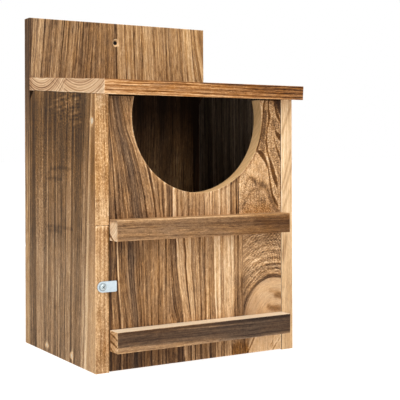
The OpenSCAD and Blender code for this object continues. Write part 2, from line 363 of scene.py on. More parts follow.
def wood(name, prof, seed, palette=TORCHED, wander=0.5, streak=0.16, fine=0.20, mottle=0.06, speck=0.12, thread=0.20, fleck=0.8, ink=1.15,
         wear=0.14, relief=0.35, raw=(226, 190, 146), v_scale=1.0, lift=0.0, dust=0.04):
    """Torched and brushed wood. It reads four attributes of the mesh: grain (across, along and depth, in mm),
    zone (tone offset, warmth, distance to bare wood in mm), mark (distance to dark strokes and to light strokes
    in mm, amount of speckle) and edge (distance to the nearest arris in mm)."""
    m = bpy.data.materials.new(name)
    g = Graph(m)
    u, v, w = g.split(g.attr("grain").outputs["Vector"])
    tone0, warmth, bare = g.split(g.attr("zone").outputs["Vector"])
    dark, light, figure = g.split(g.attr("mark").outputs["Vector"])
    edge = g.attr("edge").outputs["Fac"]
    k = float(seed) * 7.31
    # the grain lines wander a little along the board
    wide = g.centred(g.xyz(g.mul(u, 0.09), g.mul(v, 0.020 * v_scale), g.mad(w, 0.05, k)), wander * 1.8, 2.0)
    near = g.centred(g.xyz(g.mul(u, 0.45), g.mul(v, 0.075 * v_scale), g.mad(w, 0.2, k + 3.0)), wander * 0.5, 2.0)
    u1 = g.add(u, g.add(wide, near))
    base = g.profile(u1, prof, "bands")
    lines = g.profile(u1, prof, "lines")
    # a line is stronger here and weaker there
    hold = g.noise(g.xyz(g.mul(u1, 0.22), g.mul(v, 0.016 * v_scale), g.mad(w, 0.1, k + 7.0)), 2.0, 0.6)
    lines = g.mul(lines, g.remap(hold, 0.32, 0.62, 0.5 * ink, 1.1 * ink))
    # streaks and fibres, drawn out along the grain
    s1 = g.noise(g.xyz(g.mul(u1, 0.62), g.mul(v, 0.013 * v_scale), g.mad(w, 0.11, k + 11.0)), 3.0, 0.62)
    s2 = g.noise(g.xyz(g.mul(u1, 0.85), g.mul(v, 0.022 * v_scale), g.mad(w, 0.3, k + 23.0)), 3.0, 0.62)
    s3 = g.noise(g.xyz(g.mul(u1, 2.6), g.mul(v, 0.14 * v_scale), g.mad(w, 0.8, k + 31.0)), 2.0, 0.6)
    pore = g.noise(g.xyz(g.mul(u1, 0.85), g.mul(v, 0.12 * v_scale), g.mad(w, 0.9, k + 41.0)), 2.0, 0.7)
    # threads: long thin growth lines, dark ones and light ones
    th1 = g.noise(g.xyz(g.mul(u1, 0.50), g.mul(v, 0.0075 * v_scale), g.mad(w, 0.1, k + 101.0)), 1.0, 0.5)
    th2 = g.noise(g.xyz(g.mul(u1, 0.64), g.mul(v, 0.0100 * v_scale), g.mad(w, 0.1, k + 113.0)), 1.0, 0.5)
    thin = lambda q: g.remap(g.math("ABSOLUTE", g.add(q, -0.5)), 0.010, 0.055, 1.0, 0.0)
    cloud = g.noise(g.xyz(g.mul(u, 0.14), g.mul(v, 0.05 * v_scale), g.mad(w, 0.05, k + 53.0)), 3.0, 0.55)
    grit = g.noise(g.xyz(g.mul(u, 0.95), g.mul(v, 0.50), g.mad(w, 1.0, k + 67.0)), 3.0, 0.7)
    spot = g.noise(g.xyz(g.mul(u, 0.62), g.mul(v, 0.42), g.mad(w, 0.5, k + 77.0)), 2.0, 0.75)
    t = g.mad(s1, 2 * streak, -streak)
    t = g.mad(s2, 2 * fine, g.add(t, -fine))
    t = g.mad(s3, 1.3 * fine, g.add(t, -fine * 0.65))
    t = g.mad(cloud, 2 * mottle, g.add(t, -mottle))
    t = g.mad(grit, 2 * speck, g.add(t, -speck))
    # pores: short dark flecks, and light ones where the brush lifted the char
    t = g.mad(g.remap(pore, 0.56, 0.66), -0.20 * fleck, t)
    t = g.mad(g.remap(pore, 0.43, 0.33), 0.18 * fleck, t)
    # small light specks
    t = g.mad(g.remap(spot, 0.60, 0.70), dust, g.add(t, -0.2 * dust))
    plain = g.math("SUBTRACT", 1.0, g.mul(g.math("ABSOLUTE", figure), 0.8))
    t = g.mad(g.mul(thin(th1), plain), -thread, t)
    t = g.mad(g.mul(thin(th2), plain), 0.75 * thread, t)
    t = g.add(t, 0.03)
    # speckled figure
    blot = g.add(g.mad(g.remap(spot, 0.34, 0.62), 0.34, -0.19), g.mad(grit, 0.5, -0.25))
    t = g.mad(blot, g.mul(g.math("MAXIMUM", figure, 0.0), 1.8), t)
    # char hides the grain where the wood is dark
    t = g.mul(t, g.remap(g.add(base, tone0), 0.05, 0.42, 0.45, 1.0))
    t = g.mul(t, g.mad(g.math("MINIMUM", figure, 0.0), 0.6, 1.0))
    # strokes of the figure, with ragged edges
    rag = g.add(g.centred(g.xyz(g.mul(u, 0.55), g.mul(v, 0.35), g.mad(w, 0.5, k + 91.0)), 0.9, 3.0, 0.65), g.mad(s2, 0.8, -0.4))
    inked = g.remap(g.add(dark, rag), -0.7, 1.1, 1.0, 0.0, True)
    lit = g.remap(g.add(light, rag), -0.7, 0.8, 1.0, 0.0, True)
    tone = g.add(g.add(g.add(base, lines), g.add(tone0, lift)), t)
    shoulder = g.mul(g.remap(g.add(dark, g.mul(rag, 0.7)), 1.2, 3.2, 1.0, 0.0), g.math("SUBTRACT", 1.0, inked))
    tone = g.mad(shoulder, 0.10, tone)
    tone = g.mad(inked, g.mad(tone, -0.57, -0.03), tone)
    tone = g.mad(lit, 0.18, tone)
    # arrises rubbed lighter, in patches
    patch = g.noise(g.xyz(g.mul(u, 0.25), g.mul(v, 0.11), g.mad(w, 0.25, k + 71.0)), 3.0, 0.6)
    rub = g.mul(g.remap(edge, 0.25, 1.45, 1.0, 0.0), g.remap(patch, 0.32, 0.60))
    tone = g.mad(rub, wear, tone)
    tone = g.math("MAXIMUM", g.math("MINIMUM", tone, 1.0), 0.0)
    colour = g.ramp(tone, [(p, lin(c)) for p, c in palette])
    # warmth: towards orange above 0, towards grey below
    drift = g.add(warmth, g.add(g.mad(cloud, 0.5, -0.25), g.mad(s1, 0.3, -0.15)))
    drift = g.add(drift, g.mad(g.math("MINIMUM", lines, 0.0), -0.4, g.mul(inked, 0.25)))
    sat = g.math("MAXIMUM", g.mad(drift, 0.45, 1.0), 0.3)
    hue = g.mad(drift, -0.012, 0.5)
    colour = g.hsv(colour, hue, sat, 1.0)
    # bare wood, where it was cut or chipped after the torching
    ragged = g.mad(g.noise(g.xyz(g.mul(u, 0.9), g.mul(v, 0.5), g.mad(w, 0.9, k + 83.0)), 3.0, 0.6), 2.4, -1.2)
    is_bare = g.remap(g.add(bare, ragged), 0.45, -0.45)
    pale = g.mix(g.remap(s2, 0.3, 0.7), lin(tuple(max(0, c - 26) for c in raw)), lin(raw))
    pale = g.mix(g.remap(s1, 0.35, 0.75, 0.0, 0.6), pale, lin((raw[0] - 44, raw[1] - 52, raw[2] - 56)))
    pale = g.hsv(pale, 0.5, 1.0, g.math("MAXIMUM", g.add(tone0, 1.0), 0.2))
    colour = g.mix(is_bare, colour, pale)
    g.link(colour, g.bsdf.inputs["Base Color"])
    rough = g.remap(tone, 0.0, 1.0, 0.58, 0.80)
    rough = g.add(rough, g.mad(s2, 0.16, -0.08))
    g.link(rough, g.bsdf.inputs["Roughness"])
    g.bsdf.inputs["Specular IOR Level"].default_value = 0.11
    height = g.add(g.mul(s1, 0.7), g.add(g.mul(s2, 0.55), g.add(g.mul(s3, 0.3), g.mul(grit, 0.25))))
    height = g.add(height, g.mul(g.add(base, lines), 0.6))
    b = g.nt.nodes.new("ShaderNodeBump")
    b.inputs["Strength"].default_value = relief
    b.inputs["Distance"].default_value = 0.0004
    g.link(height, b.inputs["Height"])
    g.link(b.outputs[0], g.bsdf.inputs["Normal"])
    return m


# ================================================================ helpers: board meshes
def slices(lo, hi, step, fine=True):
    near = [0.12, 0.3, 0.55, 0.9, 1.5] if fine else []
    n = max(1, int(round((hi - lo) / step)))
    inner = [lo + (hi - lo) * k / n for k in range(1, n)]
    inner = [p for p in inner if not fine or (p - lo > 2.0 and hi - p > 2.0)]
    return sorted([lo + d for d in near] + inner + [hi - d for d in near])


KINDS = np.array([0, 1, 2, 3, 4, 5])   # faces that look to -x, +x, -y, +y, -z, +z


def board(node, name, body, material, steps, field, radius=0.55, seed=1, local=None, box=None,
          skip=(), arc=False, rough_face=None, before=None, chip=0.8, more=None):
    """A detailed board in place of a CAD node: the node's own shape, sliced finely, with eased and worn arrises,
    brushed faces and the attributes that its material reads. skip names box planes (as KINDS) that aren't faces
    of a plain box or lie against another board, and keep their sharp edges."""
    bm = bmesh.new()
    bm.from_mesh(nodes[node].data)
    bmesh.ops.remove_doubles(bm, verts=bm.verts, dist=2e-6)
    bmesh.ops.dissolve_limit(bm, angle_limit=math.radians(0.2), verts=bm.verts, edges=bm.edges, use_dissolve_boundaries=False)
    if before:
        before(bm)
    L = local or Matrix.Identity(4)            # row frame to board frame, metres
    Li = L.inverted()
    if box is None:
        co = np.array([L @ v.co for v in bm.verts]) * 1000
        box = (co.min(0), co.max(0))
    lo, hi = np.array(box[0], float), np.array(box[1], float)
    for ax in sorted((0, 1, 2), key=lambda a: (hi[a] - lo[a]) / steps[a]):
        no = (Li.to_3x3() @ Vector([1.0 if k == ax else 0.0 for k in range(3)])).normalized()
        for p in slices(lo[ax], hi[ax], steps[ax]):
            pt = Li @ Vector([p / 1000 if k == ax else 0.0 for k in range(3)])
            bmesh.ops.bisect_plane(bm, geom=bm.verts[:] + bm.edges[:] + bm.faces[:], dist=1e-7, plane_co=pt, plane_no=no)
    me = bpy.data.meshes.new(name)
    bm.to_mesh(me)
    bm.free()
    nv, nf, nl = len(me.vertices), len(me.polygons), len(me.loops)
    co = np.empty(nv * 3)
    me.vertices.foreach_get("co", co)
    co = co.reshape(-1, 3)
    R3 = np.array(L.to_3x3())
    T3 = np.array(L.translation)
    P = (co @ R3.T + T3) * 1000                # board frame, mm
    nrm = np.empty(nf * 3)
    me.polygons.foreach_get("normal", nrm)
    nrm = nrm.reshape(-1, 3) @ R3.T
    starts = np.empty(nf, int)
    totals = np.empty(nf, int)
    me.polygons.foreach_get("loop_start", starts)
    me.polygons.foreach_get("loop_total", totals)
    lv = np.empty(nl, int)
    me.loops.foreach_get("vertex_index", lv)
    lf = np.repeat(np.arange(nf), totals)
    # distances to the box's planes; a skipped plane makes no arris
    d = np.stack([P[:, 0] - lo[0], hi[0] - P[:, 0], P[:, 1] - lo[1], hi[1] - P[:, 1], P[:, 2] - lo[2], hi[2] - P[:, 2]], 1)
    use = d.copy()
    for s in skip:
        use[:, s] = 1e3
    rho = np.hypot(P[:, 0] - EX, P[:, 2] - EZ)
    if arc:
        use = np.concatenate([use, np.abs(rho - ER)[:, None]], 1)
    srt = np.sort(use, 1)
    edge_v = srt[:, 1]
    # eased arrises: a rounded box whose radius wanders along the edge
    n1, n2 = Noise2(seed), Noise2(seed + 100)
    s_al = P[:, 0] + P[:, 1] * 0.83 + P[:, 2] * 1.13
    r = radius * (0.8 + 0.35 * n1(s_al / 14.0, 0.5) + 0.25 * n1(s_al / 3.1, 7.5))
    r = r + chip * np.clip(n2(s_al / 5.2, 3.3) - 0.72, 0, 1) * 4
    if more is not None:
        r = r * more(P)
    r = np.clip(r, 0.12, 1.45 if more is None else 1.95)[:, None]
    lo_r, hi_r = np.tile(lo, (nv, 1)) + r, np.tile(hi, (nv, 1)) - r
    big = 1e4
    for s in skip:
        if s % 2 == 0:
            lo_r[:, s // 2] = -big
        else:
            hi_r[:, s // 2] = big
    c = np.minimum(np.maximum(P, lo_r), hi_r)
    q = P - c
    ln = np.linalg.norm(q, axis=1)
    on = (np.min(np.where(np.isin(KINDS, list(skip))[None, :], 1e3, d), 1) < 2e-3)
    two = (np.abs(q) > 1e-6).sum(1) >= 2
    move = on & two
    Q = P.copy()
    Q[move] = c[move] + q[move] / ln[move][:, None] * r[move]
    # brushed faces: the dark lines lie lowest. Only points on one outer plane move, and only inwards
    main = np.argmax(np.abs(nrm), 1)
    kinds = main * 2 + (nrm[np.arange(nf), main] > 0)
    middle = np.stack([np.bincount(lf, weights=P[lv, k], minlength=nf) for k in range(3)], 1) / totals[:, None]
    F = field(P[lv], kinds[lf], nrm[lf], middle[lf])
    if rough_face is not None:
        depth_l = rough_face(F)
        cnt = np.bincount(lv, minlength=nv)
        depth = np.bincount(lv, weights=depth_l, minlength=nv) / np.maximum(cnt, 1)
        wave = 0.05 + 0.05 * n2(P[:, 0] / 23.0 + P[:, 1] / 31.0, P[:, 2] / 37.0)
        depth = np.clip(depth + wave, 0, 0.24) * sstep(0.4, 2.2, edge_v)
        for s in range(6):
            if s in skip:
                continue
            sel = (d[:, s] < 2e-3) & ~move
            Q[sel, s // 2] += depth[sel] * (1 if s % 2 == 0 else -1)
    Qm = (Q / 1000 - T3) @ np.linalg.inv(R3).T
    me.vertices.foreach_set("co", Qm.ravel())
    for nm, arr in (("grain", np.stack([F["u"], F["v"], F["w"]], 1)), ("zone", np.stack([F["tone"], F["warm"], F["bare"]], 1)),
                    ("mark", np.stack([F["dark"], F["light"], F["figure"]], 1))):
        a = me.attributes.new(nm, "FLOAT_VECTOR", "CORNER")
        a.data.foreach_set("vector", np.ascontiguousarray(arr, np.float32).ravel())
    a = me.attributes.new("edge", "FLOAT", "CORNER")
    a.data.foreach_set("value", np.ascontiguousarray(F.get("edge", edge_v[lv]) if "edge" in F else edge_v[lv], np.float32))
    me.update()
    me.shade_smooth()
    me.set_sharp_from_angle(angle=math.radians(38))
    me.materials.append(material)
    o = bpy.data.objects.new(name, me)
    scene.collection.objects.link(o)
    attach(o, body)
    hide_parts(node)
    return o


def blank(P):
    n = len(P)
    z = np.zeros(n)
    return {"u": z.copy(), "v": z.copy(), "w": z.copy(), "tone": z.copy(), "warm": z.copy(), "bare": z + 99.0,
            "dark": z + 99.0, "light": z + 99.0, "figure": z.copy()}


def stroke(a, b, *pts):
    """Distance, less the half width, to a bent stroke given as (a, b, half width) points."""
    best = np.full(len(a), 99.0)
    for (a0, b0, h0), (a1, b1, h1) in zip(pts, pts[1:]):
        da, db = a1 - a0, b1 - b0
        t = np.clip(((a - a0) * da + (b - b0) * db) / (da * da + db * db), 0, 1)
        best = np.minimum(best, np.hypot(a - a0 - t * da, b - b0 - t * db) - h0 - (h1 - h0) * t)
    return best


def least(*arrays):
    return np.minimum.reduce(arrays)


def soft(d, w):
    """1 inside, fading to 0 over w."""
    return np.exp(-(np.maximum(d, 0) / w) ** 2)


def rings(a, b, *staves):
    """End grain of an edge glued board: distance from the pith of the stave that the point lies in. Each stave is
    its far edge along a, then its pith (a, b)."""
    r = np.zeros(len(a))
    low = -1e9
    for k, (edge, ca, cb) in enumerate(staves):
        r = np.where((a > low) & (a <= edge), np.hypot(a - ca, b - cb) + 13.7 * k, r)
        low = edge
    return r


def near_spot(P, pts, radius, axes):
    """Distance to the nearest of some round spots, less their radius."""
    best = np.full(len(P), 99.0)
    for p in pts:
        dd = np.sqrt(sum((P[:, a] - p[k]) ** 2 for k, a in enumerate(axes))) - radius
        best = np.minimum(best, dd)
    return best


# ================================================================ back board
back_p = Profile()
for a, b, l in ((-121, -112.5, .38), (-112.5, -100, .60), (-98, -92.5, .53), (-92.5, -86, .52), (-83.5, -77, .58), (-75, -70.5, .52),
                (-68, -62, .58), (-60, -55.5, .50), (-55.5, -50, .43), (-48, -45, .46), (-45, -38, .50), (-37, -33, .50),
                (-31, -27, .54), (-26, -20, .52), (-18, -9, .50), (-9, -5.3, .44), (-4.8, 4.8, .63), (6.8, 9.5, .64),
                (9.5, 16.2, .58), (18.7, 22, .66), (22, 26.5, .60), (29, 43.5, .62), (46, 52.5, .58), (52.5, 59, .56),
                (62, 79, .57), (79, 82.5, .48), (84, 98, .70), (99.3, 103.4, .60), (106.3, 110, .64), (110, 120, .54)):
    back_p.band(a, b, l)
back_p.many((-99.4, 1.0, -.30, .5, 1.4), (-91.2, .8, -.20, 1.2, .6), (-88.4, .7, .10), (-84.6, .6, -.12, .5, 1.2), (-76, 1.0, -.24, .6, 1.8),
            (-69.3, 1.1, -.24, .6, 1.4), (-60.8, .7, -.16, .5, 1.2), (-57.8, .6, -.14), (-56.2, .6, .10), (-50.6, .7, -.12, 1.4, .5),
            (-49, .5, .08), (-43.5, .6, -.15, .5, 1.6), (-41, .5, -.10), (-37.5, .7, -.12, 1.2, .5), (-32, .7, -.18, .6, 1.3),
            (-26.6, .6, -.15, .5, 1.5), (-23.6, .5, -.10), (-19.4, .8, -.16, 1.6, .6), (-16.4, .5, -.09), (-13, .5, -.10), (-10.6, .5, -.08),
            (-6.2, .7, -.16, 1.3, .4), (5.9, .9, -.26, .5, 1.2), (12.5, .4, -.06), (17.5, .9, -.26, 1.5, .5), (27.4, .8, -.22, .5, 1.5),
            (36, .4, -.06), (44.8, .9, -.22, 1.3, .5), (53.6, .5, -.09), (56.6, .6, -.10), (60.6, 1.0, -.26, .5, 2.0), (70, .4, -.05),
            (83.0, .6, -.18, 1.6, .4), (90, .5, -.10), (94.4, .4, -.08), (98.6, .7, -.16, .5, 1.4), (104.8, 1.1, -.26, 1.2, .5))
back_p.random(31, 200, 440, .50, .10, 6.5, .22)
# the inside face, 1020 + x: low levels, painted shade in the box
back_p.levels((900, .30), (925, .34), (942, .27), (950, .33), (972, .30), (984, .36), (990, .31), (1010, .27), (1030, .22), (1130, .22))
back_p.many((941, .8, -.10, .6, 1.0), (962, .6, -.06), (983, .8, -.08), (987, .7, .05), (1004, .7, -.08), (1011, .6, -.06))
back_mat = wood("back_board_wood", back_p, 1, streak=.12, fine=.18, mottle=.02, speck=.13, thread=.22, dust=.08)


def back_field(P, kind, n, C):
    F = blank(P)
    x0, y, z0 = P.T
    x = x0 + table(x0, (-120, 4.4), (-11, 3.3), (112, 2.4))
    z = z0 - 2.0
    lean = table(x, (-116, .06), (-97, .075), (-75, .095), (-60, .09), (-45, .07), (-20, .03), (-6, 0.0), (6, -.045), (18, -.03),
                 (30, -.05), (60, -.045), (83, -.05), (98, -.08), (106, -.19), (116, -.22))
    zz = np.clip(z - 337, -45, 40) - 14 * (1 - np.exp(np.minimum(z - 292, 0) / 60.0))
    F["u"] = x - lean * zz + 2.2 * np.sin(z / 61.0 + 1.0) * sstep(300, 240, z)
    F["v"], F["w"] = z, y - Y_BACK
    rear = kind == 3
    F["u"] = np.where(rear, 320 + x + 3.0 * np.sin(z / 83.0) + 1.4 * np.sin(z / 37.0 + 2), F["u"])
    side = (kind == 0) | (kind == 1)
    F["u"] = np.where(side, 215 + (y - Y_BACK) * 1.3 + 1.2 * np.sin(z / 47.0), F["u"])
    # left edge: dark, darkest beside the roof
    F["tone"] += np.where(kind == 0, table(z, (0, .16), (150, .14), (215, .02), (262, -.16), (300, -.26), (370, -.24)), 0)
    F["warm"] += np.where(kind == 2, table(x, (-116, -.20), (-60, -.05), (-10, 0), (0, .0), (60, .0), (116, .05)), -.1)
    F["tone"] += np.where(kind == 2, table(x, (-116, -.01), (-10, .00), (0, .03), (116, .04)), 0)
    top = kind == 5
    F["tone"] += np.where(top, .12, 0)
    # painted light and shade on the inside face: lighter at middle height and low on the left, where light comes in
    # through the entrance; darker towards the top under the roof; nearly black right of x = 96, a painted shadow edge
    inner = (kind == 2) & (np.abs(x0) < 105.2) & (z0 < 288.9)
    F["u"] = np.where(inner, 1020 + x0 + 2.0 * np.sin(z / 57.0), F["u"])
    t = table(z0, (0, .06), (150, .14), (178, .17), (205, .09), (235, -.02), (255, -.14), (272, -.24))
    t = t + .05 * np.sin(x0 / 5.3 + .6) + .04 * np.sin(x0 / 2.3 + 1.0) + .06 * sstep(245, 205, z) * sstep(10, -30, x0)
    F["tone"] = np.where(inner, t + .07 - .38 * sstep(96.2, 97.2, x0), F["tone"])
    # painted shade in the vent's nook
    F["tone"] -= np.where((kind == 2) & (z0 > 270) & (z0 < 290.5) & (np.abs(x0) > 104.9), .50, 0)
    # charred along the upper left arris
    F["tone"] -= np.where(kind == 2, .24 * sstep(-116.8, -118.6, x0) * sstep(288, 292, z0), 0)
    # countersink and hole: painted shade down inside the hole, and on the bare countersink painted light at its lower
    # right and painted shade at its upper left
    rr = np.hypot(x0 + 11.2, z0 - 349)
    F["bare"] = np.where((kind == 2) & (rr > 2.4), rr - 3.9, F["bare"])
    F["bare"] = np.where((rr < 3.75) & (y < Y_BACK + 1.3), -2.0, F["bare"])
    F["tone"] = np.where((rr < 2.6) & (y > Y_BACK + 1.2), -.5, F["tone"])
    F["tone"] = np.where(F["bare"] < .8, np.clip(.45 * ((x0 + 11.2) - (z0 - 349)) / 5.5, -.35, .35), F["tone"])
    # small dark knots near the top edge
    for kx, kz, s in ((-84, 366.5, 2.6), (-44.5, 367, 2.2), (-32, 369, 2.0)):
        F["tone"] -= .26 * np.exp(-((x - kx) / s) ** 2 - ((z - kz) / (s * 1.5)) ** 2) * (kind == 2)
    return F


def groove(F, prof=None, amount=0.2):
    return amount * (1 - prof.at(F["u"]))


board("back_board", "back_board_looks", "box_body", back_mat, (1.5, 3.0, 4.0), back_field, radius=0.5, seed=11,
      rough_face=lambda F: groove(F, back_p))


# ================================================================ front panel
front_p = Profile()
# below the upper ledge, left of x = 54
front_p.levels((-112, .38), (-97, .42), (-91.5, .40), (-84, .25), (-78.5, .33), (-72, .43), (-58, .48), (-42, .44), (-34.5, .30), (-28.3, .62),
               (-20.5, .58), (-17.5, .68), (-10.5, .54), (-1, .50), (5, .54), (11, .47), (17, .70), (24.5, .60), (30, .71), (42.5, .52),
               (46, .52), (50, .58), (58, .60))
front_p.many((-97.8, .9, -.26, 1.6, .4), (-96.0, .7, .20), (-93.8, .5, -.16), (-91.8, .8, -.20, .5, 1.2), (-88, .4, -.08), (-84, .5, -.10), (-78.3, .7, -.12),
             (-74.5, .4, -.08), (-72, .6, -.16, .4, 1.0), (-68, .5, -.14), (-64, .4, -.07), (-58, .8, -.22, .5, 1.2), (-54, .4, -.06),
             (-49.6, 1.0, -.26, .5, 1.3), (-45.5, .4, -.08), (-41, .9, -.24, .5, 1.0), (-37, .4, -.08), (-34.6, .8, -.14), (-30, .8, -.08),
             (-27.6, .6, .08), (-19, 1.3, -.44, 1.0, .4), (-14.5, .4, .06), (-10.4, .7, -.26, .4, 1.6), (-6, .4, -.07), (-3, .4, .05),
             (.3, 1.0, -.24, 1.4, .5), (2.8, .5, .08), (5.8, .8, -.20, .5, 1.2), (8.5, .4, .06), (11.2, .8, -.18, .6, .8), (14, .5, -.10),
             (16.6, .9, -.14, 1.6, .3), (18.2, .5, .12), (21.5, .4, -.06), (24, .6, .12), (26.2, .5, -.10), (28.6, .8, -.14, .5, 1.0),
             (33, .4, -.05), (37.5, .4, -.05), (40, .4, .05), (43.2, .8, -.12, .4, 1.6), (48.3, .9, -.18, 2.2, .5), (52.8, .7, -.08, 1.0, 1.0))
# above the upper ledge, left of x = 50: the same lines of x + 700
front_p.levels((586, .40), (602, .43), (608, .44), (620, .31), (633, .43), (638, .54), (647, .47), (661.5, .29), (667.5, .68), (673.5, .57),
               (686, .52), (695, .54), (706, .60), (714, .60), (720, .66), (727.5, .72), (738, .52), (744.5, .42), (752, .45))
front_p.many((600.8, .6, .14), (603, .8, -.22, 1.2, .4), (605.2, .6, .14), (608.3, .7, -.20, .5, 1.0), (614, .4, -.08), (620, .5, -.12), (626, .5, .05), (632.5, .5, -.08),
             (637.8, 1.0, -.26, .5, 1.0), (642, .4, -.06), (648, .9, -.24, 1.2, .5), (650.3, .6, .14), (653.8, .7, -.18), (657, .7, -.20),
             (659.5, .5, .12), (663, 1.2, -.08), (668.6, .7, .12), (672.8, .8, -.28, .5, .8), (675.5, .5, .10), (678.2, .7, -.16), (682, .7, .16),
             (685.8, .8, -.22, .5, .9), (690, .4, -.08), (694.6, .7, -.20, 1.2, .4), (699.4, .5, -.12), (705.2, .8, -.22, 1.3, .4), (709, .4, -.08),
             (713.6, .7, .12), (716.3, .5, -.12), (720.4, .5, -.10), (723.8, .7, .13), (726.6, .7, -.14), (732, .4, -.05), (738.8, .8, -.26, .5, 1.3),
             (742.4, .5, -.10), (746.2, 1.4, -.22, .8, .6), (749, .8, -.16))
# right of that: 1000 + x above the upper ledge, 1200 + H round the big arch below it, 1400 + x at the bottom
front_p.levels((1040, .69), (1088, .62), (1120, .60), (1190, .77), (1241.2, .52), (1244.8, .70), (1250, .63), (1262, .64), (1275, .62),
               (1300, .62), (1350, .62), (1400, .57), (1455, .60), (1462, .77), (1520, .74))
front_p.many((1242.6, .9, -.05, .6, 3.2), (1238.6, .5, -.05), (1249.8, .7, -.12, .6, 1.6), (1252.6, .6, .08), (1255.4, .8, -.12, .6, 1.4),
             (1258.6, .6, .08), (1261.4, .7, -.09, .6, 1.2), (1264.8, .6, .07), (1268, .7, -.07, .6, 1.2), (1271, .6, .06), (1274.5, .7, -.07, .6, 1.2))
# inside, rims and ends
front_p.random(41, 1600, 1860, .46, .09, 7.0, .2)
FRONT_PALETTE = [
    (0.00, (44, 27, 16)), (0.15, (72, 48, 30)), (0.30, (102, 72, 46)), (0.45, (134, 99, 66)),
    (0.60, (166, 126, 86)), (0.75, (199, 157, 112)), (0.90, (225, 187, 143)), (1.00, (240, 211, 172)),
]
front_mat = wood("front_panel_wood", front_p, 2, palette=FRONT_PALETTE, raw=(233, 194, 143), speck=.15, dust=.14)


